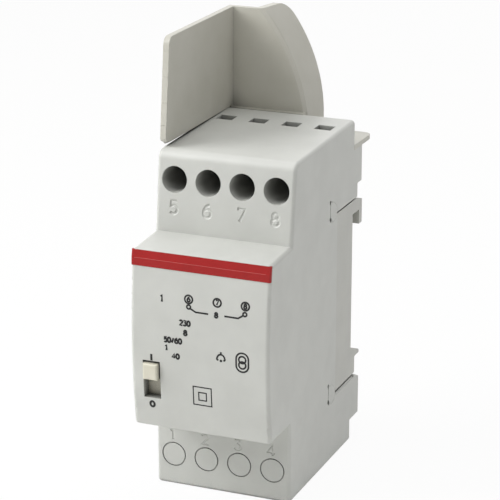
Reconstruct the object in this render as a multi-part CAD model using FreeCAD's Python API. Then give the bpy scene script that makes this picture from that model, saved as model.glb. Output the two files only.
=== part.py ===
import FreeCAD, Part
import math
import os

V = FreeCAD.Vector

# Sizes are in millimetres. X runs across the module, Y runs back towards the rail and Z runs up.
# The origin is the middle of the face that lies against the rail. Depths in front of it are negative Y.

# Rail that the device clips onto
RAIL_WIDTH = 35.0
RAIL_PLAY = 1.5

# Outer form of the housing
MODULE_WIDTH = 36.0
PANEL_HEIGHT = 45.0
PANEL_REACH = 12.6
PANEL_CROWN = 1.6
PANEL_WALL = 1.5
SHOULDER_RISE = 0.7
UPPER_FACE_STEP = 0.6
UPPER_FACE_LEAN_DEPTH = 2.3
TOP_FALL = 0.9
UPPER_BACK_Y = 0.8
LOWER_BACK_Y = -0.6
BLOCK_BACK_Y = 5.8
NECK_BACK_Y = 2.8
UPPER_BACK_STEP = 7.9
LOWER_BACK_STEP = 5.9
UPPER_NECK_HEIGHT = 3.6
LOWER_NECK_HEIGHT = 1.5
WALL = 1.8
TOP_FRONT_RADIUS = 2.6
TOP_BACK_RADIUS = 1.2
FOOT_RADIUS = 1.0
PANEL_END_RADIUS = 0.4
SIDE_EDGE_RADIUS = 1.0

# Chamber for the transformer, and the rear cover that closes it
RAIL_TO_CHAMBER_TOP = 7.1
RAIL_TO_CHAMBER_BOTTOM = 9.1
LEAD_SPACE = 4.6
CORE_TO_FACE = 6.3
COVER_TOP_LIP = 1.5
COVER_BOTTOM_LIP = 0.7
COVER_FRONT_Y = -12.0
COVER_GAP = 0.5
COVER_INSET = 0.2
COVER_WALL = 1.6
COVER_BACK_WALL = 2.0
CORE_RIB_WIDTH = 1.6
CORE_RIB_OVERLAP = 3.2

# Screw terminals
TERMINALS_PER_SIDE = 4
TERMINAL_SIDE_MARGIN = 0.28
CHAMBER_TO_UPPER_SCREW = 11.5
CHAMBER_TO_LOWER_SCREW = 8.6
UPPER_SCREW_TO_TOP = 7.9
LOWER_SCREW_TO_BOTTOM = 8.3
UPPER_BORE_RADIUS = 3.3
LOWER_BORE_RADIUS = 3.1
BORE_END_Y = -25.5
POCKET_BACK_Y = -3.6
POCKET_MOUTH_BACK_Y = -14.0
POCKET_WALL = 1.5
KNOCKOUT_SKIN = 0.8
KNOCKOUT_GROOVE_WIDTH = 0.3
KNOCKOUT_GROOVE_DEPTH = 0.35
WIRE_SLOT_WIDTH = 4.4
WIRE_SLOT_DEPTH = 3.8
WIRE_SLOT_Y = -9.2
CAGE_LENGTH = 10.4
CAGE_HALF_HEIGHT = 3.9
CAGE_WALL = 1.0
CAGE_NUT_WALL = 2.4
PLATE_THICKNESS = 1.0
TAB_Y = -19.4
TAB_PAST_LEAD = 1.2
SCREW_RADIUS = 1.75
SCREW_HEAD_RADIUS = 2.8
SCREW_HEAD_LENGTH = 2.3
SCREW_LENGTH = 11.0
SCREW_TIP_Y = -11.6
THREAD_CLEARANCE = 0.05

# Rail seat on the rear cover
HOOK_OVERLAP = 2.4
HOOK_LIP_FRONT_Y = 4.9
HOOK_BACK_Y = 7.0
HOOK_BEVEL = 1.2
HOOK_BEVEL_FRONT_Y = 3.0
CLAW_TIP_Y = 6.4
CLAW_DROP = 3.4
CLAW_TIP_HEIGHT = 1.1
CLAW_FOOT_Y = 3.0

# Rail clip
CLIP_HALF_WIDTH = 7.0
CLIP_FRONT_Y = 0.5
CLIP_THICKNESS = 2.5
CLIP_RIB_HALF_WIDTH = 4.6
CLIP_RIB_HEIGHT = 2.0
CLIP_TOP_DROP = 0.8
CLIP_TAIL_REACH = 1.7
CLIP_OVERLAP = 1.8
CLIP_NOSE_FRONT_Y = 1.4
CLIP_NOSE_LENGTH = 2.2
CLIP_LIP_THICKNESS = 1.5
CLIP_SLOT_WIDTH = 5.0
CLIP_SLOT_HEIGHT = 1.8
CLIP_SLOT_MARGIN = 1.4
CLIP_NOSE_RELIEF = 0.4
SLIDE_CLEARANCE = 0.3

# Marker strip along the top of the panel
STRIP_HEIGHT = 3.8
STRIP_TOP_MARGIN = 0.1
STRIP_DEPTH = 0.6
STRIP_PROUD = 0.12
STRIP_CREASE = 0.14
STRIP_END_RADIUS = 0.4

# Switch on the panel
SWITCH_SLOT_WIDTH = 4.5
SWITCH_SLOT_HEIGHT = 9.8
SWITCH_SIDE_GAP = 0.65
BUTTON_HEIGHT = 4.1
BUTTON_END_GAP = 0.5
BUTTON_SIDE_GAP = 0.35
BUTTON_PROUD = 1.2
BUTTON_RADIUS = 0.45
SWITCH_CLEARANCE = 0.15
SHIELD_OVERLAP_X = 0.7
SHIELD_OVERLAP_Z = 0.4
SHIELD_THICKNESS = 1.0
SWITCH_POST_LENGTH = 3.0
SWITCH_POST_WIDTH = 2.0
SWITCH_POST_TIP = 0.8
SWITCH_POST_SHOULDER = 0.3
BRIDGE_LENGTH = 8.2
BRIDGE_WIDTH = 3.4
BRIDGE_THICKNESS = 0.3
BRIDGE_DIMPLE_RADIUS = 0.8
BRIDGE_DIMPLE_HEIGHT = 0.45
CARRIER_DEPTH = 6.6
CARRIER_WALL = 1.0
CARRIER_FOOT = 0.65
CONTACT_THICKNESS = 0.6
CONTACT_WIDTH = 2.4
CONTACT_HEIGHT = 3.0
CONTACT_TAIL = 3.0

# Transformer
CORE_UNIT_WIDTH = 7.0
STACK_THICKNESS = 18.0
CORE_Z = -1.0
FIT = 0.2
BOBBIN_TUBE_WALL = 0.9
BOBBIN_FLANGE_THICKNESS = 0.9
PRIMARY_WIDTH = 10.6
WINDING_MARGIN = 0.55
WINDING_CORNER_RADIUS = 4.0
TAPE_THICKNESS = 0.25
FUSE_RADIUS = 1.7
FUSE_LENGTH = 6.4
FUSE_CHAMFER = 0.3
FUSE_LEAD_RADIUS = 0.4
FUSE_LEAD_REACH = 1.8
LEAD_RADIUS = 0.6
LEAD_BEND_RADIUS = 2.0
LEAD_SIDES = 6

# Insulating barrier
BARRIER_HEIGHT = 25.9
BARRIER_BASE_THICKNESS = 1.2
BARRIER_DEPTH_Y = 13.5
BARRIER_WALL_Y = 2.6
BARRIER_WALL = 1.5
BARRIER_SIDE_WALL = 1.6
BARRIER_SIDE_SETBACK = 3.6
BARRIER_SIDE_LEAN_DEPTH = 2.8
BARRIER_SIDE_GAP = 0.4
BARRIER_FOOT_SPAN = 22.36
BARRIER_TOP_SPAN = 9.55
BARRIER_FLARE_FOOT = 0.24
BARRIER_FLARE_TOP = 2.28
BARRIER_FLARE_RISE = 4.9
BARRIER_CORNER_RADIUS = 2.2
BARRIER_TIP_RADIUS = 3.0
BARRIER_EDGE_CHAMFER = 0.8
BARRIER_ROOT_DROP = 0.2
BARRIER_HOOK_WIDTH = 6.0
BARRIER_HOOK_SPACING = 20.0
BARRIER_HOOK_DEPTH = 2.6
BARRIER_HOOK_THICKNESS = 1.6
BARRIER_HOOK_Y = 2.9

# Latches of the rear cover, and the moulded slits beside them
LATCH_SLIT_HEIGHT = 4.4
LATCH_SLIT_WIDTH = 0.5
LATCH_SLIT_DEPTH = 0.7
LATCH_SLIT_Y = -17.0
LATCH_ARM_LENGTH = 6.5
LATCH_ARM_WIDTH = 5.0
LATCH_ARM_THICKNESS = 1.1

# How far a cutting block runs past the face that it cuts, and a joined block into its neighbour
OVERRUN = 1.0

# Transformer's places, from the rear cover forwards
CORE_BACK_Y = -COVER_BACK_WALL - FIT
CORE_SPLIT_Y = CORE_BACK_Y - 4 * CORE_UNIT_WIDTH
CORE_FRONT_Y = CORE_SPLIT_Y - CORE_UNIT_WIDTH
CORE_HALF_HEIGHT = 3 * CORE_UNIT_WIDTH
CORE_TOP_Z = CORE_Z + CORE_HALF_HEIGHT
CORE_BOTTOM_Z = CORE_Z - CORE_HALF_HEIGHT

# Heights, from the rail's middle outwards. The chamber is as high as the rail seat or the core asks.
HALF_RAIL = RAIL_WIDTH / 2
CHAMBER_TOP_Z = max(HALF_RAIL + RAIL_TO_CHAMBER_TOP, CORE_TOP_Z + LEAD_SPACE)
CHAMBER_BOTTOM_Z = min(-HALF_RAIL - RAIL_TO_CHAMBER_BOTTOM, CORE_BOTTOM_Z - LEAD_SPACE)
COVER_TOP_Z = CHAMBER_TOP_Z - COVER_TOP_LIP
COVER_BOTTOM_Z = CHAMBER_BOTTOM_Z + COVER_BOTTOM_LIP
UPPER_NECK_Z = COVER_TOP_Z + UPPER_NECK_HEIGHT
LOWER_NECK_Z = COVER_BOTTOM_Z - LOWER_NECK_HEIGHT
UPPER_SCREW_Z = CHAMBER_TOP_Z + CHAMBER_TO_UPPER_SCREW
LOWER_SCREW_Z = CHAMBER_BOTTOM_Z - CHAMBER_TO_LOWER_SCREW
TOP_Z = UPPER_SCREW_Z + UPPER_SCREW_TO_TOP
BOTTOM_Z = LOWER_SCREW_Z - LOWER_SCREW_TO_BOTTOM
UPPER_LEDGE_Z = TOP_Z - UPPER_BACK_STEP
LOWER_LEDGE_Z = BOTTOM_Z + LOWER_BACK_STEP
UPPER_LEAD_Z = (CHAMBER_TOP_Z + CORE_TOP_Z) / 2
LOWER_LEAD_Z = (CHAMBER_BOTTOM_Z + CORE_BOTTOM_Z) / 2

# Depths of the front faces, from the core forwards
LOWER_FACE_Y = CORE_FRONT_Y - CORE_TO_FACE
UPPER_FACE_Y = LOWER_FACE_Y + UPPER_FACE_STEP
PANEL_EDGE_Y = LOWER_FACE_Y - PANEL_REACH
PANEL_INNER_Y = PANEL_EDGE_Y + PANEL_WALL
CHAMBER_FRONT_Y = UPPER_FACE_Y + WALL

# Widths and the rows of terminals
HALF_WIDTH = MODULE_WIDTH / 2
HALF_PANEL = PANEL_HEIGHT / 2
CHAMBER_HALF = HALF_WIDTH - WALL
SHOULDER_Z = HALF_PANEL + SHOULDER_RISE
COVER_HALF = HALF_WIDTH - COVER_INSET
TERMINAL_PITCH = (MODULE_WIDTH - 2 * TERMINAL_SIDE_MARGIN) / TERMINALS_PER_SIDE
TERMINAL_XS = [(i - (TERMINALS_PER_SIDE - 1) / 2) * TERMINAL_PITCH for i in range(TERMINALS_PER_SIDE)]
POCKET_HALF = (TERMINAL_PITCH - POCKET_WALL) / 2
CAGE_HALF_WIDTH = POCKET_HALF - FIT
PLATE_HALF_WIDTH = CAGE_HALF_WIDTH - CAGE_WALL - FIT
CAGE_BACK_Y = POCKET_BACK_Y - FIT
CAGE_FRONT_Y = CAGE_BACK_Y - CAGE_LENGTH
TAB_FRONT_Y = TAB_Y - PLATE_THICKNESS / 2
TAB_BACK_Y = TAB_Y + PLATE_THICKNESS / 2

# Rail seat and clip
HOOK_GROOVE_TOP_Z = HALF_RAIL + RAIL_PLAY
HOOK_LIP_TIP_Z = HALF_RAIL - HOOK_OVERLAP
CLAW_TOP_Z = -HALF_RAIL
CLIP_TOP_Z = -HALF_RAIL - CLIP_TOP_DROP
CLIP_NOSE_TIP_Z = -HALF_RAIL + CLIP_OVERLAP
CLIP_TAIL_Z = LOWER_LEDGE_Z - CLIP_TAIL_REACH
CLIP_BACK_Y = CLIP_FRONT_Y + CLIP_THICKNESS
CLIP_CHANNEL_HALF = CLIP_HALF_WIDTH + SLIDE_CLEARANCE
CLIP_CHANNEL_FRONT_Y = CLIP_FRONT_Y - SLIDE_CLEARANCE

# Switch, from the panel's floor and side wall inwards
SWITCH_TRAVEL = SWITCH_SLOT_HEIGHT - BUTTON_HEIGHT - 2 * BUTTON_END_GAP
SHIELD_HALF_WIDTH = SWITCH_SLOT_WIDTH / 2 + SHIELD_OVERLAP_X
SWITCH_X = -CHAMBER_HALF + SWITCH_SIDE_GAP + SHIELD_HALF_WIDTH
CARRIER_BOTTOM_Z = -HALF_PANEL + WALL
SHIELD_BOTTOM_Z = CARRIER_BOTTOM_Z + CARRIER_FOOT + SWITCH_CLEARANCE + SWITCH_TRAVEL
SWITCH_SLOT_BOTTOM_Z = SHIELD_BOTTOM_Z + SHIELD_OVERLAP_Z
SWITCH_SLOT_TOP_Z = SWITCH_SLOT_BOTTOM_Z + SWITCH_SLOT_HEIGHT
SHIELD_TOP_Z = SWITCH_SLOT_TOP_Z + SWITCH_TRAVEL + SHIELD_OVERLAP_Z
CARRIER_TOP_Z = SHIELD_TOP_Z + SWITCH_CLEARANCE + CARRIER_FOOT
BUTTON_TOP_Z = SWITCH_SLOT_TOP_Z - BUTTON_END_GAP
BUTTON_BOTTOM_Z = BUTTON_TOP_Z - BUTTON_HEIGHT
BUTTON_MIDDLE_Z = (BUTTON_TOP_Z + BUTTON_BOTTOM_Z) / 2
SHIELD_FRONT_Y = PANEL_INNER_Y + SWITCH_CLEARANCE
SHIELD_BACK_Y = SHIELD_FRONT_Y + SHIELD_THICKNESS
BRIDGE_FRONT_Y = SHIELD_BACK_Y + SWITCH_POST_LENGTH - SWITCH_POST_TIP
BRIDGE_BACK_Y = BRIDGE_FRONT_Y + BRIDGE_THICKNESS
CONTACT_FRONT_Y = BRIDGE_BACK_Y + BRIDGE_DIMPLE_HEIGHT + SWITCH_CLEARANCE
CARRIER_FRONT_Y = SHIELD_BACK_Y + SWITCH_CLEARANCE
CARRIER_BACK_Y = CARRIER_FRONT_Y + CARRIER_DEPTH
CONTACT_END_Y = CARRIER_BACK_Y + CONTACT_TAIL
CONTACT_REACH = BRIDGE_LENGTH / 2 - BRIDGE_DIMPLE_RADIUS
CONTACT_LOW_Z = BUTTON_MIDDLE_Z - CONTACT_REACH
CONTACT_HIGH_Z = BUTTON_MIDDLE_Z + CONTACT_REACH

# Bobbin and windings
BOBBIN_BACK_Y = CORE_BACK_Y - CORE_UNIT_WIDTH - FIT
BOBBIN_FRONT_Y = CORE_SPLIT_Y + FIT
BOBBIN_BORE_HALF_X = STACK_THICKNESS / 2 + FIT
BOBBIN_BORE_HALF_Z = CORE_UNIT_WIDTH + FIT
TUBE_HALF_X = BOBBIN_BORE_HALF_X + BOBBIN_TUBE_WALL
TUBE_HALF_Z = BOBBIN_BORE_HALF_Z + BOBBIN_TUBE_WALL
FLANGE_HALF_X = CHAMBER_HALF - FIT
FLANGE_HALF_Z = 2 * CORE_UNIT_WIDTH - FIT
WINDING_HALF_X = FLANGE_HALF_X - WINDING_MARGIN - TAPE_THICKNESS
WINDING_HALF_Z = FLANGE_HALF_Z - WINDING_MARGIN - TAPE_THICKNESS
PRIMARY_FRONT_Y = BOBBIN_FRONT_Y + BOBBIN_FLANGE_THICKNESS
PRIMARY_BACK_Y = PRIMARY_FRONT_Y + PRIMARY_WIDTH
SECONDARY_FRONT_Y = PRIMARY_BACK_Y + BOBBIN_FLANGE_THICKNESS
SECONDARY_BACK_Y = BOBBIN_BACK_Y - BOBBIN_FLANGE_THICKNESS
FUSE_FRONT_Y = PRIMARY_FRONT_Y + FIT

# Barrier
BARRIER_TOP_Z = TOP_Z + BARRIER_HEIGHT
BARRIER_BASE_TOP_Z = UPPER_LEDGE_Z + BARRIER_BASE_THICKNESS
BARRIER_FRONT_Y = UPPER_BACK_Y + FIT
BARRIER_WALL_BACK_Y = BARRIER_WALL_Y + BARRIER_WALL
BARRIER_FOOT_X = -HALF_WIDTH + BARRIER_FOOT_SPAN
BARRIER_TIP_X = -HALF_WIDTH + BARRIER_TOP_SPAN
BARRIER_SIDE_FRONT_Y = UPPER_FACE_Y + BARRIER_SIDE_SETBACK
BARRIER_SIDE_BOTTOM_Z = TOP_Z + BARRIER_SIDE_GAP


def box(x0, x1, y0, y1, z0, z1):
    """Block between two corners. Each pair of limits can come in either order."""
    xs, ys, zs = sorted((x0, x1)), sorted((y0, y1)), sorted((z0, z1))
    return Part.makeBox(xs[1] - xs[0], ys[1] - ys[0], zs[1] - zs[0], V(xs[0], ys[0], zs[0]))


def prism_x(points, x0, x1):
    """Side view given as (y, z) points, carried across from x0 to x1."""
    corners = [V(x0, y, z) for y, z in points]
    return Part.Face(Part.makePolygon(corners + corners[:1])).extrude(V(x1 - x0, 0, 0))


def rod_y(x, z, y0, y1, radius):
    return Part.makeCylinder(radius, y1 - y0, V(x, y0, z), V(0, 1, 0))


def fuse(shapes):
    return shapes[0].multiFuse(shapes[1:]).removeSplitter()


def round_edges(shape, radius, wanted):
    """Round every edge for which wanted(edge) is true."""
    edges = [edge for edge in shape.Edges if wanted(edge)]
    return shape.makeFillet(radius, edges)


def is_along(edge, axis):
    """True for a straight edge that runs along the axis."""
    return isinstance(edge.Curve, Part.Line) and edge.Curve.Direction.cross(axis).Length < 1e-6


def passes(edge, y, z):
    """True for an edge along X through the point (y, z) of the side view."""
    middle = edge.CenterOfMass
    return is_along(edge, V(1, 0, 0)) and abs(middle.y - y) < 1e-3 and abs(middle.z - z) < 1e-3


def panel_y(z, proud=0.0):
    """Y of the bowed panel face at height z, or of a surface that stands proud of it."""
    radius = (HALF_PANEL ** 2 + PANEL_CROWN ** 2) / (2 * PANEL_CROWN)
    centre_y = PANEL_EDGE_Y - PANEL_CROWN + radius
    return centre_y - math.sqrt((radius + proud) ** 2 - z ** 2)


def housing_outer():
    """Stepped outer form: bowed panel, two set-back terminal blocks and the back."""
    top_front = (UPPER_FACE_Y + UPPER_FACE_LEAN_DEPTH, TOP_Z - TOP_FALL)
    points = [
        (LOWER_FACE_Y, -HALF_PANEL),
        (LOWER_FACE_Y, BOTTOM_Z),
        (LOWER_BACK_Y, BOTTOM_Z),
        (LOWER_BACK_Y, LOWER_LEDGE_Z),
        (BLOCK_BACK_Y, LOWER_LEDGE_Z),
        (BLOCK_BACK_Y, LOWER_NECK_Z),
        (NECK_BACK_Y, COVER_BOTTOM_Z),
        (NECK_BACK_Y, UPPER_NECK_Z),
        (BLOCK_BACK_Y, UPPER_NECK_Z),
        (BLOCK_BACK_Y, UPPER_LEDGE_Z),
        (UPPER_BACK_Y, UPPER_LEDGE_Z),
        (UPPER_BACK_Y, TOP_Z),
        top_front,
        (UPPER_FACE_Y, SHOULDER_Z),
    ]
    x0 = -HALF_WIDTH
    top = V(x0, PANEL_EDGE_Y, HALF_PANEL)
    bottom = V(x0, PANEL_EDGE_Y, -HALF_PANEL)
    crown = Part.Arc(top, V(x0, PANEL_EDGE_Y - PANEL_CROWN, 0), bottom).toShape()
    rest = Part.makePolygon([bottom] + [V(x0, y, z) for y, z in points] + [top])
    solid = Part.Face(Part.Wire([crown] + rest.Edges)).extrude(V(MODULE_WIDTH, 0, 0))
    solid = round_edges(solid, TOP_FRONT_RADIUS, lambda e: passes(e, *top_front))
    solid = round_edges(solid, TOP_BACK_RADIUS, lambda e: passes(e, UPPER_BACK_Y, TOP_Z))
    solid = round_edges(solid, FOOT_RADIUS, lambda e: passes(e, LOWER_FACE_Y, BOTTOM_Z))
    for end_z in (HALF_PANEL, -HALF_PANEL):
        solid = round_edges(solid, PANEL_END_RADIUS, lambda e: passes(e, PANEL_EDGE_Y, end_z))

    def is_side_edge(edge):
        middle = edge.CenterOfMass
        return abs(abs(middle.x) - HALF_WIDTH) < 1e-6 and middle.y < LOWER_BACK_Y - FIT

    return round_edges(solid, SIDE_EDGE_RADIUS, is_side_edge)


def knockout_groove(x):
    """Ring groove that marks the thin skin over a closed screw hole."""
    ends = (LOWER_FACE_Y - OVERRUN, LOWER_FACE_Y + KNOCKOUT_GROOVE_DEPTH)
    outer = rod_y(x, LOWER_SCREW_Z, *ends, LOWER_BORE_RADIUS + KNOCKOUT_GROOVE_WIDTH / 2)
    inner = rod_y(x, LOWER_SCREW_Z, *ends, LOWER_BORE_RADIUS - KNOCKOUT_GROOVE_WIDTH / 2)
    return outer.cut(inner)


def terminal_cavity(x, side):
    """Screw bore, clamp pocket, mouth to the chamber and wire slot of one terminal."""
    if side > 0:
        screw_z, chamber_z, outside_z = UPPER_SCREW_Z, CHAMBER_TOP_Z, TOP_Z
        bore = rod_y(x, screw_z, UPPER_FACE_Y - OVERRUN, BORE_END_Y + OVERRUN, UPPER_BORE_RADIUS)
    else:
        screw_z, chamber_z, outside_z = LOWER_SCREW_Z, CHAMBER_BOTTOM_Z, BOTTOM_Z
        bore = rod_y(x, screw_z, LOWER_FACE_Y + KNOCKOUT_SKIN, BORE_END_Y + OVERRUN, LOWER_BORE_RADIUS)
    outward_z = screw_z + side * (CAGE_HALF_HEIGHT + FIT)
    inward_z = screw_z - side * (CAGE_HALF_HEIGHT + PLATE_THICKNESS + FIT)
    pocket_xs = (x - POCKET_HALF, x + POCKET_HALF)
    slot_xs = (x - WIRE_SLOT_WIDTH / 2, x + WIRE_SLOT_WIDTH / 2)
    slot_ys = (WIRE_SLOT_Y - WIRE_SLOT_DEPTH / 2, WIRE_SLOT_Y + WIRE_SLOT_DEPTH / 2)
    return fuse([
        bore,
        box(*pocket_xs, BORE_END_Y, POCKET_BACK_Y, outward_z, inward_z),
        box(*pocket_xs, BORE_END_Y, POCKET_MOUTH_BACK_Y, inward_z, chamber_z - side * OVERRUN),
        box(*slot_xs, *slot_ys, outward_z, outside_z + side * OVERRUN),
    ])


def chamber():
    """Hollow behind the panel, the wider hollow for the transformer, and the rear opening."""
    front_z = HALF_PANEL - WALL
    return fuse([
        box(-CHAMBER_HALF, CHAMBER_HALF, PANEL_INNER_Y, CHAMBER_FRONT_Y + OVERRUN, -front_z, front_z),
        box(-CHAMBER_HALF, CHAMBER_HALF, CHAMBER_FRONT_Y, COVER_FRONT_Y, CHAMBER_BOTTOM_Z, CHAMBER_TOP_Z),
        box(-HALF_WIDTH - OVERRUN, HALF_WIDTH + OVERRUN, COVER_FRONT_Y, BLOCK_BACK_Y + OVERRUN,
            COVER_BOTTOM_Z, COVER_TOP_Z),
    ])


def clip_channel():
    """Way through the lower block in which the rail clip slides."""
    return box(-CLIP_CHANNEL_HALF, CLIP_CHANNEL_HALF, CLIP_CHANNEL_FRONT_Y, BLOCK_BACK_Y + OVERRUN,
               LOWER_LEDGE_Z - OVERRUN, COVER_BOTTOM_Z + OVERRUN)


def latch_slits():
    """Short upright slits in the side faces, with a round end at each, beside the cover's latches."""
    slits = []
    half_width = LATCH_SLIT_WIDTH / 2
    for side in (-1, 1):
        xs = sorted((side * (HALF_WIDTH - LATCH_SLIT_DEPTH), side * (HALF_WIDTH + OVERRUN)))
        for cover_z in (COVER_TOP_Z, COVER_BOTTOM_Z):
            bottom = cover_z - COVER_GAP
            top = bottom + LATCH_SLIT_HEIGHT
            slits.append(box(*xs, LATCH_SLIT_Y - half_width, LATCH_SLIT_Y + half_width, bottom, top))
            for z in (bottom, top):
                start = V(xs[0], LATCH_SLIT_Y, z)
                slits.append(Part.makeCylinder(LATCH_SLIT_WIDTH, xs[1] - xs[0], start, V(1, 0, 0)))
    return slits


def rib_xs():
    """Sides of the ribs that hold the core."""
    return [(x - CORE_RIB_WIDTH / 2, x + CORE_RIB_WIDTH / 2) for x in (-STACK_THICKNESS / 4, STACK_THICKNESS / 4)]


def core_ribs():
    """Ribs that hold the front of the core, two at the top and two at the bottom."""
    ys = (CHAMBER_FRONT_Y - OVERRUN, CORE_FRONT_Y - FIT)
    ribs = []
    for xs in rib_xs():
        ribs.append(box(*xs, *ys, CORE_TOP_Z - CORE_RIB_OVERLAP, CHAMBER_TOP_Z + OVERRUN))
        ribs.append(box(*xs, *ys, CHAMBER_BOTTOM_Z - OVERRUN, CORE_BOTTOM_Z + CORE_RIB_OVERLAP))
    return ribs


def strip_outline(proud, crease):
    """Section of the marker strip or of its seat, as (y, z) points that follow the bowed panel."""
    top = HALF_PANEL - STRIP_TOP_MARGIN
    bottom = top - STRIP_HEIGHT
    middle = (top + bottom) / 2
    return [
        (panel_y(top, proud), top),
        (panel_y(middle, proud + crease), middle),
        (panel_y(bottom, proud), bottom),
        (panel_y(bottom) + STRIP_DEPTH, bottom),
        (panel_y(top) + STRIP_DEPTH, top),
    ]


def barrier_hook_boxes(clearance):
    """Feet of the barrier, or with a clearance the sockets for them in the upper ledge."""
    half = BARRIER_HOOK_WIDTH / 2 + clearance
    half_thick = BARRIER_HOOK_THICKNESS / 2 + clearance
    ys = (BARRIER_HOOK_Y - half_thick, BARRIER_HOOK_Y + half_thick)
    low = UPPER_LEDGE_Z - BARRIER_HOOK_DEPTH - clearance
    centres = (-BARRIER_HOOK_SPACING / 2, BARRIER_HOOK_SPACING / 2)
    return [box(x - half, x + half, *ys, low, UPPER_LEDGE_Z + clearance) for x in centres]


def switch_slot():
    half = SWITCH_SLOT_WIDTH / 2
    return box(SWITCH_X - half, SWITCH_X + half, PANEL_EDGE_Y - PANEL_CROWN - OVERRUN, PANEL_INNER_Y + OVERRUN,
               SWITCH_SLOT_BOTTOM_Z, SWITCH_SLOT_TOP_Z)


def housing():
    """Moulded shell with the panel and both terminal blocks."""
    outer = housing_outer()
    strip_seat = prism_x(strip_outline(OVERRUN, 0), -HALF_WIDTH - OVERRUN, HALF_WIDTH + OVERRUN)
    hollows = [chamber(), clip_channel(), switch_slot(), strip_seat]
    hollows += latch_slits() + barrier_hook_boxes(FIT)
    for x in TERMINAL_XS:
        hollows += [terminal_cavity(x, 1), terminal_cavity(x, -1), knockout_groove(x)]
    shell = outer
    for hollow in hollows:
        shell = shell.cut(hollow)
    for rib in core_ribs():
        shell = shell.fuse(rib.common(outer))
    return shell.removeSplitter()


def marker_strip():
    """Glossy strip with a crease along its middle, seated in its groove across the panel."""
    strip = prism_x(strip_outline(STRIP_PROUD, STRIP_CREASE), -HALF_WIDTH, HALF_WIDTH)

    def is_front_end(edge):
        middle = edge.CenterOfMass
        return abs(abs(middle.x) - HALF_WIDTH) < 1e-6 and middle.y < panel_y(middle.z)

    return round_edges(strip, STRIP_END_RADIUS, is_front_end)


def hook_profile():
    """Hook over the rail's upper edge."""
    top = COVER_TOP_Z - COVER_GAP
    return [
        (-COVER_BACK_WALL, top),
        (HOOK_BEVEL_FRONT_Y, top),
        (HOOK_BACK_Y, top - HOOK_BEVEL),
        (HOOK_BACK_Y, HOOK_LIP_TIP_Z),
        (HOOK_LIP_FRONT_Y, HOOK_LIP_TIP_Z),
        (HOOK_LIP_FRONT_Y, HOOK_GROOVE_TOP_Z),
        (-COVER_BACK_WALL, HOOK_GROOVE_TOP_Z),
    ]


def claw_profile():
    """Fixed claw that reaches behind the rail's lower edge on each side of the clip."""
    tip_bottom = CLAW_TOP_Z - CLAW_DROP
    tip_top = tip_bottom + CLAW_TIP_HEIGHT
    half_tip = CLAW_TIP_HEIGHT / 2
    foot_z = COVER_BOTTOM_Z + COVER_GAP
    return [
        (-COVER_BACK_WALL, CLAW_TOP_Z),
        (0, CLAW_TOP_Z),
        (CLAW_TIP_Y - half_tip, tip_top),
        (CLAW_TIP_Y, tip_top - half_tip),
        (CLAW_TIP_Y, tip_bottom),
        (CLAW_FOOT_Y, tip_bottom),
        (CLAW_FOOT_Y, foot_z),
        (-COVER_BACK_WALL, foot_z),
    ]


def clip_guides():
    """Block and lip on both sides of the channel that keep the rail clip in."""
    low = COVER_BOTTOM_Z + COVER_GAP
    high = CLAW_TOP_Z - CLAW_DROP
    lip_front = CLIP_BACK_Y + SLIDE_CLEARANCE
    lip_back = lip_front + CLIP_LIP_THICKNESS
    lip_end = CLIP_RIB_HALF_WIDTH + SLIDE_CLEARANCE
    outer = CLIP_CHANNEL_HALF + CLIP_LIP_THICKNESS
    guides = []
    for side in (-1, 1):
        guides.append(box(side * CLIP_CHANNEL_HALF, side * outer, 0, lip_back, low, high))
        guides.append(box(side * lip_end, side * outer, lip_front, lip_back, low, high))
    return guides


def cover_ribs():
    """Ribs in the tray that hold the back of the core from above and below."""
    front = COVER_FRONT_Y + FIT
    ribs = []
    for xs in rib_xs():
        ribs.append(box(*xs, front, -COVER_BACK_WALL, CORE_TOP_Z + FIT, COVER_TOP_Z - COVER_GAP))
        ribs.append(box(*xs, front, -COVER_BACK_WALL, COVER_BOTTOM_Z + COVER_GAP, CORE_BOTTOM_Z - FIT))
    return ribs


def latch_arms():
    """Four arms that reach forward along the inside of the side walls."""
    front = COVER_FRONT_Y + FIT
    outer = CHAMBER_HALF - FIT
    inner = outer - LATCH_ARM_THICKNESS
    top = COVER_TOP_Z - COVER_GAP
    bottom = COVER_BOTTOM_Z + COVER_GAP
    arms = []
    for side in (-1, 1):
        for zs in ((top - LATCH_ARM_WIDTH, top), (bottom, bottom + LATCH_ARM_WIDTH)):
            arms.append(box(side * inner, side * outer, front - LATCH_ARM_LENGTH, front + OVERRUN, *zs))
            arms.append(box(side * inner, side * COVER_HALF, front, front + COVER_WALL, *zs))
    return arms


def rear_cover():
    """Tray that closes the back, with the rail hook, the rail face and the lower claws."""
    low = COVER_BOTTOM_Z + COVER_GAP
    high = COVER_TOP_Z - COVER_GAP
    front = COVER_FRONT_Y + FIT
    inner = COVER_HALF - COVER_WALL
    tray = box(-COVER_HALF, COVER_HALF, front, 0, low, high)
    tray = tray.cut(box(-inner, inner, front - OVERRUN, -COVER_BACK_WALL, low + COVER_WALL, high - COVER_WALL))
    hook = prism_x(hook_profile(), -COVER_HALF, COVER_HALF)
    claws = prism_x(claw_profile(), -COVER_HALF, COVER_HALF)
    claws = claws.cut(box(-CLIP_CHANNEL_HALF, CLIP_CHANNEL_HALF, CLIP_CHANNEL_FRONT_Y, CLAW_TIP_Y + OVERRUN,
                          low - OVERRUN, CLAW_TOP_Z + OVERRUN))
    cover = fuse([tray, hook, claws] + clip_guides() + cover_ribs() + latch_arms())
    relief_half = CLIP_RIB_HALF_WIDTH + SLIDE_CLEARANCE
    return cover.cut(box(-relief_half, relief_half, -CLIP_NOSE_RELIEF, CLIP_NOSE_FRONT_Y,
                         CLAW_TOP_Z, CLIP_NOSE_TIP_Z + SLIDE_CLEARANCE))


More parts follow.
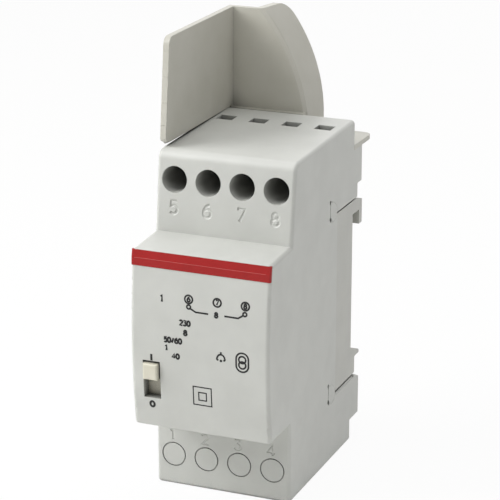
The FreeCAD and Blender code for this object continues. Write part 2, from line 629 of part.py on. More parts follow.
def rail_clip():
    """Sliding clip whose nose reaches behind the rail's lower edge."""
    plate = box(-CLIP_HALF_WIDTH, CLIP_HALF_WIDTH, CLIP_FRONT_Y, CLIP_BACK_Y, CLIP_TAIL_Z, CLIP_TOP_Z)
    rib_back = CLIP_BACK_Y + CLIP_RIB_HEIGHT
    nose_back = CLIP_NOSE_FRONT_Y + CLIP_NOSE_LENGTH
    root_y = CLIP_BACK_Y - CLIP_THICKNESS / 2
    rib = prism_x([
        (root_y, CLIP_TAIL_Z),
        (rib_back, CLIP_TAIL_Z),
        (rib_back, CLIP_TOP_Z - CLIP_RIB_HEIGHT / 2),
        (nose_back, CLIP_NOSE_TIP_Z),
        (CLIP_NOSE_FRONT_Y, CLIP_NOSE_TIP_Z),
        (CLIP_NOSE_FRONT_Y, CLIP_TOP_Z - CLIP_RIB_HEIGHT / 2),
        (root_y, CLIP_TOP_Z - CLIP_RIB_HEIGHT / 2),
    ], -CLIP_RIB_HALF_WIDTH, CLIP_RIB_HALF_WIDTH)
    slot_z = CLIP_TAIL_Z + CLIP_SLOT_MARGIN
    slot = box(-CLIP_SLOT_WIDTH / 2, CLIP_SLOT_WIDTH / 2, CLIP_FRONT_Y - OVERRUN, rib_back + OVERRUN,
               slot_z, slot_z + CLIP_SLOT_HEIGHT)
    return fuse([plate, rib]).cut(slot)


def barrier_outline(left, inset, y, low, high):
    """Closed outline at depth y: straight at the left, and a curve that stands upright at its foot."""
    flare = (y - BARRIER_WALL_Y) / (BARRIER_DEPTH_Y - BARRIER_WALL_Y)
    foot_x = BARRIER_FOOT_X + BARRIER_FLARE_FOOT * flare
    foot_z = UPPER_LEDGE_Z + BARRIER_FLARE_RISE * flare
    across = foot_x - BARRIER_TIP_X - BARRIER_FLARE_TOP * flare
    rise = BARRIER_TOP_Z - foot_z
    radius = (across ** 2 + rise ** 2) / (2 * across)

    def on_curve(z):
        return V(foot_x - radius + math.sqrt((radius - inset) ** 2 - (z - foot_z) ** 2), y, z)

    curve = Part.Arc(on_curve(low), on_curve((low + high) / 2), on_curve(high)).toShape()
    sides = Part.makePolygon([on_curve(high), V(left, y, high), V(left, y, low), on_curve(low)])
    return Part.Wire([curve] + sides.Edges)


def barrier_block(left, inset, y0, y1, low, high):
    """Block from depth y0 to y1 whose curved side flares outward towards the back."""
    return Part.makeLoft([barrier_outline(left, inset, y, low, high) for y in (y0, y1)], True, True)


def barrier_side_plate():
    """Upright plate on the left, with a slanting front edge and rounded front corners."""
    front_top = BARRIER_SIDE_FRONT_Y + BARRIER_SIDE_LEAN_DEPTH
    plate = prism_x([
        (BARRIER_WALL_BACK_Y, UPPER_LEDGE_Z),
        (BARRIER_WALL_BACK_Y, BARRIER_TOP_Z),
        (front_top, BARRIER_TOP_Z),
        (BARRIER_SIDE_FRONT_Y, BARRIER_SIDE_BOTTOM_Z),
        (BARRIER_FRONT_Y, BARRIER_SIDE_BOTTOM_Z),
        (BARRIER_FRONT_Y, UPPER_LEDGE_Z),
    ], -HALF_WIDTH, -HALF_WIDTH + BARRIER_SIDE_WALL)
    plate = round_edges(plate, BARRIER_CORNER_RADIUS, lambda e: passes(e, front_top, BARRIER_TOP_Z))
    return round_edges(plate, BARRIER_CORNER_RADIUS / 2,
                       lambda e: passes(e, BARRIER_SIDE_FRONT_Y, BARRIER_SIDE_BOTTOM_Z))


def barrier_base():
    """Foot plate on the housing's upper ledge, with rounded back corners."""
    base = box(-HALF_WIDTH, HALF_WIDTH, BARRIER_FRONT_Y, BARRIER_DEPTH_Y, UPPER_LEDGE_Z, BARRIER_BASE_TOP_Z)
    return round_edges(base, BARRIER_CORNER_RADIUS,
                       lambda e: is_along(e, V(0, 0, 1)) and e.CenterOfMass.y > BARRIER_DEPTH_Y - OVERRUN)


def barrier():
    """Insulating barrier: side plate, back wall, flared curved flange and the foot on the ledge."""
    block = barrier_block(-HALF_WIDTH, 0, BARRIER_WALL_Y, BARRIER_DEPTH_Y, UPPER_LEDGE_Z, BARRIER_TOP_Z)
    block = round_edges(block, BARRIER_TIP_RADIUS, lambda e: passes(e, BARRIER_DEPTH_Y, BARRIER_TOP_Z))
    front_curve = [e for e in block.Edges
                   if not isinstance(e.Curve, Part.Line) and abs(e.CenterOfMass.y - BARRIER_WALL_Y) < 1e-6]
    block = block.makeChamfer(BARRIER_EDGE_CHAMFER, front_curve)
    hollow = barrier_block(-HALF_WIDTH - OVERRUN, BARRIER_WALL, BARRIER_WALL_BACK_Y, BARRIER_DEPTH_Y + OVERRUN,
                           UPPER_LEDGE_Z - OVERRUN, BARRIER_TOP_Z + OVERRUN)
    root = box(-HALF_WIDTH, BARRIER_FOOT_X - BARRIER_EDGE_CHAMFER, BARRIER_FRONT_Y, BARRIER_WALL_BACK_Y,
               UPPER_LEDGE_Z, TOP_Z - BARRIER_ROOT_DROP)
    return fuse([block.cut(hollow), barrier_base(), root, barrier_side_plate()] + barrier_hook_boxes(0))


def terminal_cage(x, side):
    """Clamp cage: open above and below for the wire, with a thick threaded wall for the screw."""
    screw_z = UPPER_SCREW_Z if side > 0 else LOWER_SCREW_Z
    z0, z1 = screw_z - CAGE_HALF_HEIGHT, screw_z + CAGE_HALF_HEIGHT
    inner = CAGE_HALF_WIDTH - CAGE_WALL
    nut_back = CAGE_FRONT_Y + CAGE_NUT_WALL
    cage = box(x - CAGE_HALF_WIDTH, x + CAGE_HALF_WIDTH, CAGE_FRONT_Y, CAGE_BACK_Y, z0, z1)
    cage = cage.cut(box(x - inner, x + inner, nut_back, CAGE_BACK_Y - CAGE_WALL, z0 - OVERRUN, z1 + OVERRUN))
    return cage.cut(rod_y(x, screw_z, CAGE_FRONT_Y - OVERRUN, nut_back + OVERRUN, SCREW_RADIUS + THREAD_CLEARANCE))


def terminal_plate(x, side):
    """Contact plate: upright in the cage, then forward under it, then a solder tab into the chamber."""
    screw_z = UPPER_SCREW_Z if side > 0 else LOWER_SCREW_Z
    lead_z = UPPER_LEAD_Z if side > 0 else LOWER_LEAD_Z
    leg_z = screw_z - side * CAGE_HALF_HEIGHT
    plate_y = CAGE_BACK_Y - CAGE_WALL
    xs = (x - PLATE_HALF_WIDTH, x + PLATE_HALF_WIDTH)
    return fuse([
        box(*xs, plate_y - PLATE_THICKNESS, plate_y, leg_z, screw_z + side * (CAGE_HALF_HEIGHT - PLATE_THICKNESS)),
        box(*xs, TAB_FRONT_Y, plate_y, leg_z, leg_z - side * PLATE_THICKNESS),
        box(*xs, TAB_FRONT_Y, TAB_BACK_Y, leg_z, lead_z - side * TAB_PAST_LEAD),
    ])


def terminal_screw(x, side):
    """Cheese-head clamp screw, its tip clear of the plate as when the clamp is open."""
    screw_z = UPPER_SCREW_Z if side > 0 else LOWER_SCREW_Z
    head_back = SCREW_TIP_Y - SCREW_LENGTH
    head_front = head_back - SCREW_HEAD_LENGTH
    return fuse([
        rod_y(x, screw_z, head_back - SCREW_HEAD_LENGTH / 2, SCREW_TIP_Y, SCREW_RADIUS),
        rod_y(x, screw_z, head_front, head_back, SCREW_HEAD_RADIUS),
    ])


def switch_slider():
    """Button, the shield plate that fills the slot behind it, and the post for the bridge."""
    half_x = SWITCH_SLOT_WIDTH / 2 - BUTTON_SIDE_GAP
    button_front = panel_y(BUTTON_MIDDLE_Z) - BUTTON_PROUD
    shield_middle = SHIELD_FRONT_Y + SHIELD_THICKNESS / 2
    button = box(SWITCH_X - half_x, SWITCH_X + half_x, button_front, shield_middle, BUTTON_BOTTOM_Z, BUTTON_TOP_Z)
    button = round_edges(button, BUTTON_RADIUS, lambda e: e.CenterOfMass.y < button_front + BUTTON_RADIUS)
    shield = box(SWITCH_X - SHIELD_HALF_WIDTH, SWITCH_X + SHIELD_HALF_WIDTH, SHIELD_FRONT_Y, SHIELD_BACK_Y,
                 SHIELD_BOTTOM_Z, SHIELD_TOP_Z)
    half_post = SWITCH_POST_WIDTH / 2
    half_tip = half_post - SWITCH_POST_SHOULDER
    post = box(SWITCH_X - half_post, SWITCH_X + half_post, shield_middle, BRIDGE_FRONT_Y,
               BUTTON_MIDDLE_Z - half_post, BUTTON_MIDDLE_Z + half_post)
    tip = box(SWITCH_X - half_tip, SWITCH_X + half_tip, shield_middle, BRIDGE_FRONT_Y + SWITCH_POST_TIP,
              BUTTON_MIDDLE_Z - half_tip, BUTTON_MIDDLE_Z + half_tip)
    return fuse([button, shield, post, tip])


def switch_bridge():
    """Contact strip on the slider's post, with a dimple at each end."""
    half = BRIDGE_WIDTH / 2
    half_tip = SWITCH_POST_WIDTH / 2 - SWITCH_POST_SHOULDER
    strip = box(SWITCH_X - half, SWITCH_X + half, BRIDGE_FRONT_Y, BRIDGE_BACK_Y,
                BUTTON_MIDDLE_Z - BRIDGE_LENGTH / 2, BUTTON_MIDDLE_Z + BRIDGE_LENGTH / 2)
    hole = box(SWITCH_X - half_tip, SWITCH_X + half_tip, BRIDGE_FRONT_Y - OVERRUN, BRIDGE_BACK_Y + OVERRUN,
               BUTTON_MIDDLE_Z - half_tip, BUTTON_MIDDLE_Z + half_tip)
    dimples = []
    for z in (CONTACT_LOW_Z, CONTACT_HIGH_Z):
        dimples.append(Part.makeCone(BRIDGE_DIMPLE_RADIUS, BRIDGE_DIMPLE_RADIUS / 2, BRIDGE_DIMPLE_HEIGHT,
                                     V(SWITCH_X, BRIDGE_BACK_Y, z), V(0, 1, 0)))
    return fuse([strip.cut(hole)] + dimples)


def switch_carrier():
    """Insulating frame against the panel's inner face, which holds both fixed contacts."""
    left = -CHAMBER_HALF
    right = 2 * SWITCH_X - left
    floor_y = CARRIER_FRONT_Y + CARRIER_WALL
    frame = box(left, right, CARRIER_FRONT_Y, CARRIER_BACK_Y, CARRIER_BOTTOM_Z, CARRIER_TOP_Z)
    hollow = box(left + CARRIER_WALL, right - CARRIER_WALL, CARRIER_FRONT_Y - OVERRUN, CARRIER_BACK_Y - CARRIER_WALL,
                 CARRIER_BOTTOM_Z + CARRIER_WALL, CARRIER_TOP_Z - CARRIER_WALL)
    feet = [
        box(left, right, PANEL_INNER_Y, floor_y, CARRIER_TOP_Z - CARRIER_FOOT, CARRIER_TOP_Z),
        box(left, right, PANEL_INNER_Y, floor_y, CARRIER_BOTTOM_Z, CARRIER_BOTTOM_Z + CARRIER_FOOT),
    ]
    frame = fuse([frame.cut(hollow)] + feet)
    return frame.cut(contact_tail(CONTACT_LOW_Z)).cut(contact_tail(CONTACT_HIGH_Z))


def contact_tail(z):
    """Tail of a fixed contact, through the carrier's back wall to the solder end."""
    half = CONTACT_WIDTH / 2
    half_thick = CONTACT_THICKNESS / 2
    return box(SWITCH_X - half, SWITCH_X + half, CONTACT_FRONT_Y, CONTACT_END_Y, z - half_thick, z + half_thick)


def switch_contact(z):
    """Fixed contact: an upright face for the dimple and a tail to the back."""
    half = CONTACT_WIDTH / 2
    face = box(SWITCH_X - half, SWITCH_X + half, CONTACT_FRONT_Y, CONTACT_FRONT_Y + CONTACT_THICKNESS,
               z - CONTACT_HEIGHT / 2, z + CONTACT_HEIGHT / 2)
    return fuse([face, contact_tail(z)])


def core_e_stack():
    """Stack of E laminations: back yoke, centre leg and two outer legs."""
    half = STACK_THICKNESS / 2
    block = box(-half, half, CORE_SPLIT_Y, CORE_BACK_Y, CORE_BOTTOM_Z, CORE_TOP_Z)
    for side in (-1, 1):
        window = (CORE_Z + side * CORE_UNIT_WIDTH, CORE_Z + side * 2 * CORE_UNIT_WIDTH)
        block = block.cut(box(-half - OVERRUN, half + OVERRUN, CORE_SPLIT_Y - OVERRUN, CORE_BACK_Y - CORE_UNIT_WIDTH,
                              *window))
    return block


def core_i_stack():
    """Stack of I laminations across the ends of the legs."""
    half = STACK_THICKNESS / 2
    return box(-half, half, CORE_FRONT_Y, CORE_SPLIT_Y, CORE_BOTTOM_Z, CORE_TOP_Z)


def rounded_band(half_x, half_z, radius, y0, y1):
    """Block round the centre leg's axis, with its four long edges rounded."""
    block = box(-half_x, half_x, y0, y1, CORE_Z - half_z, CORE_Z + half_z)
    return round_edges(block, radius, lambda e: is_along(e, V(0, 1, 0)))


def bobbin():
    """Coil former with three flanges, which part the mains winding from the output winding."""
    tube = box(-TUBE_HALF_X, TUBE_HALF_X, BOBBIN_FRONT_Y, BOBBIN_BACK_Y, CORE_Z - TUBE_HALF_Z, CORE_Z + TUBE_HALF_Z)
    flanges = []
    for y in (BOBBIN_FRONT_Y, PRIMARY_BACK_Y, SECONDARY_BACK_Y):
        flanges.append(rounded_band(FLANGE_HALF_X, FLANGE_HALF_Z, WINDING_CORNER_RADIUS / 2,
                                    y, y + BOBBIN_FLANGE_THICKNESS))
    bore = box(-BOBBIN_BORE_HALF_X, BOBBIN_BORE_HALF_X, BOBBIN_FRONT_Y - OVERRUN, BOBBIN_BACK_Y + OVERRUN,
               CORE_Z - BOBBIN_BORE_HALF_Z, CORE_Z + BOBBIN_BORE_HALF_Z)
    return fuse([tube] + flanges).cut(bore)


def winding(y0, y1):
    """Copper winding round the bobbin's tube."""
    outer = rounded_band(WINDING_HALF_X, WINDING_HALF_Z, WINDING_CORNER_RADIUS, y0, y1)
    return outer.cut(box(-TUBE_HALF_X, TUBE_HALF_X, y0 - OVERRUN, y1 + OVERRUN,
                         CORE_Z - TUBE_HALF_Z, CORE_Z + TUBE_HALF_Z))


def tape(y0, y1):
    """Insulating tape round a winding."""
    outer = rounded_band(WINDING_HALF_X + TAPE_THICKNESS, WINDING_HALF_Z + TAPE_THICKNESS,
                         WINDING_CORNER_RADIUS + TAPE_THICKNESS, y0, y1)
    return outer.cut(rounded_band(WINDING_HALF_X, WINDING_HALF_Z, WINDING_CORNER_RADIUS, y0 - OVERRUN, y1 + OVERRUN))


def lead(points, radius, bend):
    """Wire through the points, with an arc of the bend radius at each inner point."""
    edges = []
    start = points[0]
    for corner, following in zip(points[1:-1], points[2:]):
        into = (corner - start).normalize()
        out = (following - corner).normalize()
        half_turn = into.getAngle(out) / 2
        trim = bend * math.tan(half_turn)
        first = corner - into * trim
        last = corner + out * trim
        middle = corner + (out - into).normalize() * (bend / math.cos(half_turn) - bend)
        edges.append(Part.LineSegment(start, first).toShape())
        edges.append(Part.Arc(first, middle, last).toShape())
        start = last
    edges.append(Part.LineSegment(start, points[-1]).toShape())
    along = (points[1] - points[0]).normalize()
    across = V(1, 0, 0) if abs(along.x) < abs(along.y) + abs(along.z) else V(0, 1, 0)
    beside = along.cross(across).normalize()
    across = beside.cross(along)
    corners = []
    for i in range(LEAD_SIDES + 1):
        angle = 2 * math.pi * i / LEAD_SIDES
        corners.append(points[0] + across * (radius * math.cos(angle)) + beside * (radius * math.sin(angle)))
    return Part.Wire(edges).makePipeShell([Part.makePolygon(corners)], True, False)


def tape_z(x, radius_of_wire, side):
    """Height at which a wire at x meets the tape, above or below the winding."""
    corner_x = WINDING_HALF_X - WINDING_CORNER_RADIUS
    corner_z = WINDING_HALF_Z - WINDING_CORNER_RADIUS
    beyond = max(0.0, abs(x) - radius_of_wire - corner_x)
    rise = math.sqrt((WINDING_CORNER_RADIUS + TAPE_THICKNESS) ** 2 - beyond ** 2)
    return CORE_Z + side * (corner_z + rise)


def fuse_centre():
    """X and Z of the thermal fuse, which lies on the mains winding, midway between the core and the side wall."""
    x = (STACK_THICKNESS / 2 + CHAMBER_HALF) / 2
    past_corner = max(0.0, x - WINDING_HALF_X + WINDING_CORNER_RADIUS)
    corner_z = CORE_Z + WINDING_HALF_Z - WINDING_CORNER_RADIUS
    reach = WINDING_CORNER_RADIUS + TAPE_THICKNESS + FUSE_RADIUS + FIT / 2
    return -x, corner_z + math.sqrt(reach ** 2 - past_corner ** 2)


def thermal_fuse():
    """Thermal fuse on the mains winding, with its bent lead down into the winding."""
    x, z = fuse_centre()
    back = FUSE_FRONT_Y + FUSE_LENGTH
    body = rod_y(x, z, FUSE_FRONT_Y, back, FUSE_RADIUS)
    body = body.makeChamfer(FUSE_CHAMFER, [edge for edge in body.Edges if isinstance(edge.Curve, Part.Circle)])
    reach = back + FUSE_LEAD_REACH
    points = [V(x, back - FUSE_RADIUS / 2, z), V(x, reach, z), V(x, reach, tape_z(x, FUSE_LEAD_RADIUS, 1))]
    return fuse([body, lead(points, FUSE_LEAD_RADIUS, 2 * FUSE_LEAD_RADIUS)])


def lead_live_in():
    """From the first mains terminal forward to the switch."""
    x = TERMINAL_XS[0]
    turn_y = CONTACT_END_Y + 2 * LEAD_BEND_RADIUS
    return lead([
        V(x, TAB_FRONT_Y, LOWER_LEAD_Z),
        V(x, turn_y, LOWER_LEAD_Z),
        V(SWITCH_X, turn_y, CONTACT_LOW_Z),
        V(SWITCH_X, CONTACT_END_Y, CONTACT_LOW_Z),
    ], LEAD_RADIUS, LEAD_BEND_RADIUS)


def lead_switched():
    """From the switch up and back to the thermal fuse."""
    x, z = fuse_centre()
    turn_y = CONTACT_END_Y + 2 * LEAD_BEND_RADIUS
    return lead([
        V(SWITCH_X, CONTACT_END_Y, CONTACT_HIGH_Z),
        V(SWITCH_X, turn_y, CONTACT_HIGH_Z),
        V(x, turn_y, z),
        V(x, FUSE_FRONT_Y, z),
    ], LEAD_RADIUS, LEAD_BEND_RADIUS)


def lead_neutral():
    """From the mains winding to the last mains terminal."""
    x = TERMINAL_XS[-1]
    y = (PRIMARY_FRONT_Y + PRIMARY_BACK_Y) / 2
    return lead([
        V(x, y, tape_z(x, LEAD_RADIUS, -1)),
        V(x, y, LOWER_LEAD_Z),
        V(x, TAB_FRONT_Y, LOWER_LEAD_Z),
    ], LEAD_RADIUS, LEAD_BEND_RADIUS)


def lead_output(x, edge_x):
    """From the output winding at edge_x to the output terminal at x, over the core where it crosses."""
    y = (SECONDARY_FRONT_Y + SECONDARY_BACK_Y) / 2
    points = [V(edge_x, y, tape_z(edge_x, LEAD_RADIUS, 1)), V(edge_x, y, UPPER_LEAD_Z)]
    if edge_x != x:
        points.append(V(x, y, UPPER_LEAD_Z))
    points.append(V(x, TAB_BACK_Y, UPPER_LEAD_Z))
    return lead(points, LEAD_RADIUS, LEAD_BEND_RADIUS)


def terminal_parts():
    """Cages and plates by number, 1 to 4 below and 5 to 8 above, and all screws as one group."""
    parts = {}
    screws = []
    for row, side in enumerate((-1, 1)):
        for column, x in enumerate(TERMINAL_XS):
            number = row * TERMINALS_PER_SIDE + column + 1
            parts["terminal_cage_%d" % number] = terminal_cage(x, side)
            parts["terminal_plate_%d" % number] = terminal_plate(x, side)
            screws.append(terminal_screw(x, side))
    parts["terminal_screws"] = Part.makeCompound(screws)
    return parts


def all_parts():
    parts = {
        "housing": housing(),
        "rear_cover": rear_cover(),
        "barrier": barrier(),
        "marker_strip": marker_strip(),
        "rail_clip": rail_clip(),
        "switch_slider": switch_slider(),
        "switch_bridge": switch_bridge(),
        "switch_carrier": switch_carrier(),
        "switch_contact_live": switch_contact(CONTACT_LOW_Z),
        "switch_contact_load": switch_contact(CONTACT_HIGH_Z),
        "core_e_stack": core_e_stack(),
        "core_i_stack": core_i_stack(),
        "bobbin": bobbin(),
        "primary_winding": winding(PRIMARY_FRONT_Y, PRIMARY_BACK_Y),
        "secondary_winding": winding(SECONDARY_FRONT_Y, SECONDARY_BACK_Y),
        "primary_tape": tape(PRIMARY_FRONT_Y, PRIMARY_BACK_Y),
        "secondary_tape": tape(SECONDARY_FRONT_Y, SECONDARY_BACK_Y),
        "thermal_fuse": thermal_fuse(),
        "lead_live_in": lead_live_in(),
        "lead_switched": lead_switched(),
        "lead_neutral": lead_neutral(),
        "lead_output_6": lead_output(TERMINAL_XS[1], TERMINAL_XS[0]),
        "lead_output_8": lead_output(TERMINAL_XS[3], TERMINAL_XS[3]),
    }
    parts.update(terminal_parts())
    return parts


os.makedirs("parts", exist_ok=True)
for name, shape in all_parts().items():
    shape.exportStep(os.path.join("parts", name + ".step"))
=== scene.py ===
import math

import bmesh
import bpy
from mathutils import Matrix, Vector


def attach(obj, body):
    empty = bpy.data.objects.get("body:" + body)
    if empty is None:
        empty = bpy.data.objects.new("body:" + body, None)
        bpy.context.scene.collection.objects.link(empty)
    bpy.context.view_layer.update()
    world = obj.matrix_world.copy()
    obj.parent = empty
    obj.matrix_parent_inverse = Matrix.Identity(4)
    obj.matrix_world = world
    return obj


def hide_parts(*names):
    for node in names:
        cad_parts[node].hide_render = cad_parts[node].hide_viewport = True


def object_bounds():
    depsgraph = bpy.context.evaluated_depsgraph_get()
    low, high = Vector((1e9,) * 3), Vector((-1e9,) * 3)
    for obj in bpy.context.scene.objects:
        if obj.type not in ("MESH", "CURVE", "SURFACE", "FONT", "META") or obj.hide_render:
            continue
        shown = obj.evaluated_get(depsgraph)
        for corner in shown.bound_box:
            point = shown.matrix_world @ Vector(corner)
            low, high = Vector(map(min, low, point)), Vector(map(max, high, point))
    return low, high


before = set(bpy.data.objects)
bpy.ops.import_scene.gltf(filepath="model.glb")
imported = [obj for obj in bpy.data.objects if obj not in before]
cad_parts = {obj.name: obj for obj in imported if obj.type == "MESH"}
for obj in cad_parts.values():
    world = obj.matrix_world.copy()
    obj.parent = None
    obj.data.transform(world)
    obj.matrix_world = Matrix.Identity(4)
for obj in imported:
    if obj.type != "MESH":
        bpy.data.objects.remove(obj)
cad_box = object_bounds()

MM = 0.001

# Corners closer than TOUCHING are one corner, and forms smaller than SLIVER are closed up, in metres
TOUCHING = 1e-7
SLIVER = 4e-6

# The bowed front panel and the faces that carry moulded or printed marks, in millimetres
PANEL_EDGE_Y = -56.1
PANEL_CROWN = 1.6
HALF_PANEL = 22.5
UPPER_FACE_FOOT = (-42.9, 23.2)
UPPER_FACE_HEAD = (-40.6, 43.1)
LOWER_FACE_Y = -43.5
TERMINAL_XS = (-13.29, -4.43, 4.43, 13.29)
HALF_WIDTH = 18.0

# Seams between the rear cover and the housing's flanks, and the snap windows in front of them
SEAM_ZS = (22.85, -26.15)
SEAM_FRONT_Y = -12.0
WINDOW_Y = -17.0
WINDOW_HEIGHT = 4.4
WALL = 1.8

# Clamp screws: the upper and the lower row, and the plane of their heads
SCREW_ZS = (36.1, -35.2)
SCREW_PITCH = 8.86
SCREW_HEAD_Y = -24.9

# Side plate of the barrier: its foot above the housing, and its slanting front edge
PLATE_FOOT_Z = 44.4
PLATE_HEAD_Z = 69.9
PLATE_FOOT_Y = -39.3
PLATE_LEAN = 2.8


# Materials

def linear(code):
    """A colour written as an sRGB hex value, in the linear light that shaders use."""
    parts = [int(code[i:i + 2], 16) / 255 for i in (0, 2, 4)]
    return (*[p / 12.92 if p <= 0.04045 else ((p + 0.055) / 1.055) ** 2.4 for p in parts], 1.0)


def add(tree, kind, settings, links):
    """One node with its settings, and its sockets filled with values or with other nodes' outputs."""
    made = tree.nodes.new(kind)
    for name, value in settings.items():
        setattr(made, name, value)
    for name, value in links.items():
        socket = made.inputs[name]
        if isinstance(value, bpy.types.NodeSocket):
            tree.links.new(value, socket)
        else:
            socket.default_value = value
    return made


def new_material(name):
    """An empty node material, its tree, and the object coordinates that its patterns read."""
    material = bpy.data.materials.new(name)
    material.use_nodes = True
    tree = material.node_tree
    tree.nodes.clear()
    place = add(tree, "ShaderNodeTexCoord", {}, {}).outputs["Object"]
    return material, tree, place


def close(tree, shader):
    """Leads the shader to the material's output."""
    add(tree, "ShaderNodeOutputMaterial", {}, {"Surface": shader.outputs["BSDF"]})


def per_metre(size_mm):
    """Scale of a pattern whose features repeat every so many millimetres."""
    return 1 / (size_mm * MM)


# Painted shade in the recesses of moulded plastic: how far off a wall still shelters a place, how open a
# place is where the painted shade lies full and where it ends, and the dark colour that is painted there
# as shade
SHELTER_MM = 7.0
FULL_PAINTED_SHADE = 0.08
NO_PAINTED_SHADE = 0.5
PAINTED_SHADE_COLOUR = "2C2A26"
FLOW_CLOUD_MM = 9


def moulded_plastic(name, light, dark, roughness, grain_mm, grain_height_mm, edge_mm):
    """Injection-moulded plastic: spark-eroded grain, faint flow clouds, softened edges, and painted shade,
    a dark colour laid on the walls deep inside narrow recesses. The real grain is about 0.05 mm wide, too
    fine to show, so it is drawn eight to ten times as coarse."""
    material, tree, place = new_material(name)
    clouds = add(tree, "ShaderNodeTexNoise", {}, {
        "Vector": place, "Scale": per_metre(FLOW_CLOUD_MM), "Detail": 3.0, "Roughness": 0.55})
    tone = add(tree, "ShaderNodeMapRange", {}, {
        "Value": clouds.outputs["Fac"], "From Min": 0.35, "From Max": 0.65})
    colour = add(tree, "ShaderNodeMix", {"data_type": "RGBA"}, {
        0: tone.outputs["Result"], 6: linear(light), 7: linear(dark)})
    # Painted shade: the more nearby walls hem a place in, the more of the dark colour it takes, standing
    # in for shade
    openness = add(tree, "ShaderNodeAmbientOcclusion", {"samples": 6}, {"Distance": SHELTER_MM * MM})
    unshaded_share = add(tree, "ShaderNodeMapRange", {}, {
        "Value": openness.outputs["AO"], "From Min": FULL_PAINTED_SHADE, "From Max": NO_PAINTED_SHADE})
    with_painted_shade = add(tree, "ShaderNodeMix", {"data_type": "RGBA"}, {
        0: unshaded_share.outputs["Result"], 6: linear(PAINTED_SHADE_COLOUR), 7: colour.outputs[2]})
    grain = add(tree, "ShaderNodeTexNoise", {}, {
        "Vector": place, "Scale": per_metre(grain_mm), "Detail": 2.0, "Roughness": 0.6})
    shine = add(tree, "ShaderNodeMapRange", {}, {
        "Value": grain.outputs["Fac"], "From Min": 0.3, "From Max": 0.7,
        "To Min": roughness - 0.04, "To Max": roughness + 0.05})
    soft_edge = add(tree, "ShaderNodeBevel", {"samples": 4}, {"Radius": edge_mm * MM})
    bump = add(tree, "ShaderNodeBump", {}, {
        "Height": grain.outputs["Fac"], "Strength": 0.35, "Distance": grain_height_mm * MM,
        "Normal": soft_edge.outputs["Normal"]})
    shader = add(tree, "ShaderNodeBsdfPrincipled", {}, {
        "Base Color": with_painted_shade.outputs[2], "Roughness": shine.outputs["Result"],
        "IOR": 1.58, "Normal": bump.outputs["Normal"]})
    close(tree, shader)
    return material


STREAK_STRETCH = 0.12


def plated_metal(name, light, dark, roughness, streak_mm):
    """Pressed, rolled or turned metal: faint streaks in colour and shine, about eight times as long as
    wide. The real marks are under 0.1 mm wide, too fine to show, so they are drawn 0.6 to 0.9 mm wide."""
    material, tree, place = new_material(name)
    stretch = add(tree, "ShaderNodeMapping", {}, {
        "Vector": place, "Scale": (1.0, STREAK_STRETCH, 1.0)})
    streaks = add(tree, "ShaderNodeTexNoise", {}, {
        "Vector": stretch.outputs["Vector"], "Scale": per_metre(streak_mm), "Detail": 4.0})
    colour = add(tree, "ShaderNodeMix", {"data_type": "RGBA"}, {
        0: streaks.outputs["Fac"], 6: linear(light), 7: linear(dark)})
    shine = add(tree, "ShaderNodeMapRange", {}, {
        "Value": streaks.outputs["Fac"], "To Min": roughness - 0.08, "To Max": roughness + 0.12})
    shader = add(tree, "ShaderNodeBsdfPrincipled", {}, {
        "Base Color": colour.outputs[2], "Roughness": shine.outputs["Result"], "Metallic": 1.0})
    close(tree, shader)
    return material


# A wave texture turns through this many radians in one unit of its space, and a band is a whole turn
WAVE_RADIANS = 20


def banded(name, light, dark, band_mm, axis, metallic, roughness):
    """Stacked or wound material: even bands across the piece, each with its light and its dark part."""
    material, tree, place = new_material(name)
    waves = add(tree, "ShaderNodeTexWave", {"bands_direction": axis}, {
        "Vector": place, "Scale": per_metre(band_mm) * math.tau / WAVE_RADIANS,
        "Distortion": 0.3, "Detail": 1.0})
    colour = add(tree, "ShaderNodeMix", {"data_type": "RGBA"}, {
        0: waves.outputs["Fac"], 6: linear(dark), 7: linear(light)})
    bump = add(tree, "ShaderNodeBump", {}, {
        "Height": waves.outputs["Fac"], "Strength": 0.5, "Distance": 0.05 * MM})
    shader = add(tree, "ShaderNodeBsdfPrincipled", {}, {
        "Base Color": colour.outputs[2], "Roughness": roughness, "Metallic": metallic,
        "Normal": bump.outputs["Normal"]})
    close(tree, shader)
    return material


GLOSS_WAVE_MM = 5


def glossy_strip(name, light, dark, roughness):
    """Coloured polystyrene strip: deep even colour under a smooth skin, with slow waves in the gloss."""
    material, tree, place = new_material(name)
    waves = add(tree, "ShaderNodeTexNoise", {}, {
        "Vector": place, "Scale": per_metre(GLOSS_WAVE_MM), "Detail": 1.0})
    colour = add(tree, "ShaderNodeMix", {"data_type": "RGBA"}, {
        0: waves.outputs["Fac"], 6: linear(light), 7: linear(dark)})
    bump = add(tree, "ShaderNodeBump", {}, {
        "Height": waves.outputs["Fac"], "Strength": 0.15, "Distance": 0.02 * MM})
    shader = add(tree, "ShaderNodeBsdfPrincipled", {}, {
        "Base Color": colour.outputs[2], "Roughness": roughness, "IOR": 1.59,
        "Specular IOR Level": 0.25, "Normal": bump.outputs["Normal"]})
    close(tree, shader)
    return material


INK_CLOUD_MM = 0.6


def pad_print_ink(name, light, dark):
    """Matt pad-printing ink: thin, slightly uneven in cover."""
    material, tree, place = new_material(name)
    cover = add(tree, "ShaderNodeTexNoise", {}, {
        "Vector": place, "Scale": per_metre(INK_CLOUD_MM), "Detail": 2.0})
    colour = add(tree, "ShaderNodeMix", {"data_type": "RGBA"}, {
        0: cover.outputs["Fac"], 6: linear(dark), 7: linear(light)})
    shader = add(tree, "ShaderNodeBsdfPrincipled", {}, {
        "Base Color": colour.outputs[2], "Roughness": 0.6, "IOR": 1.5})
    close(tree, shader)
    return material


COVER_CLOUD_MM = 2


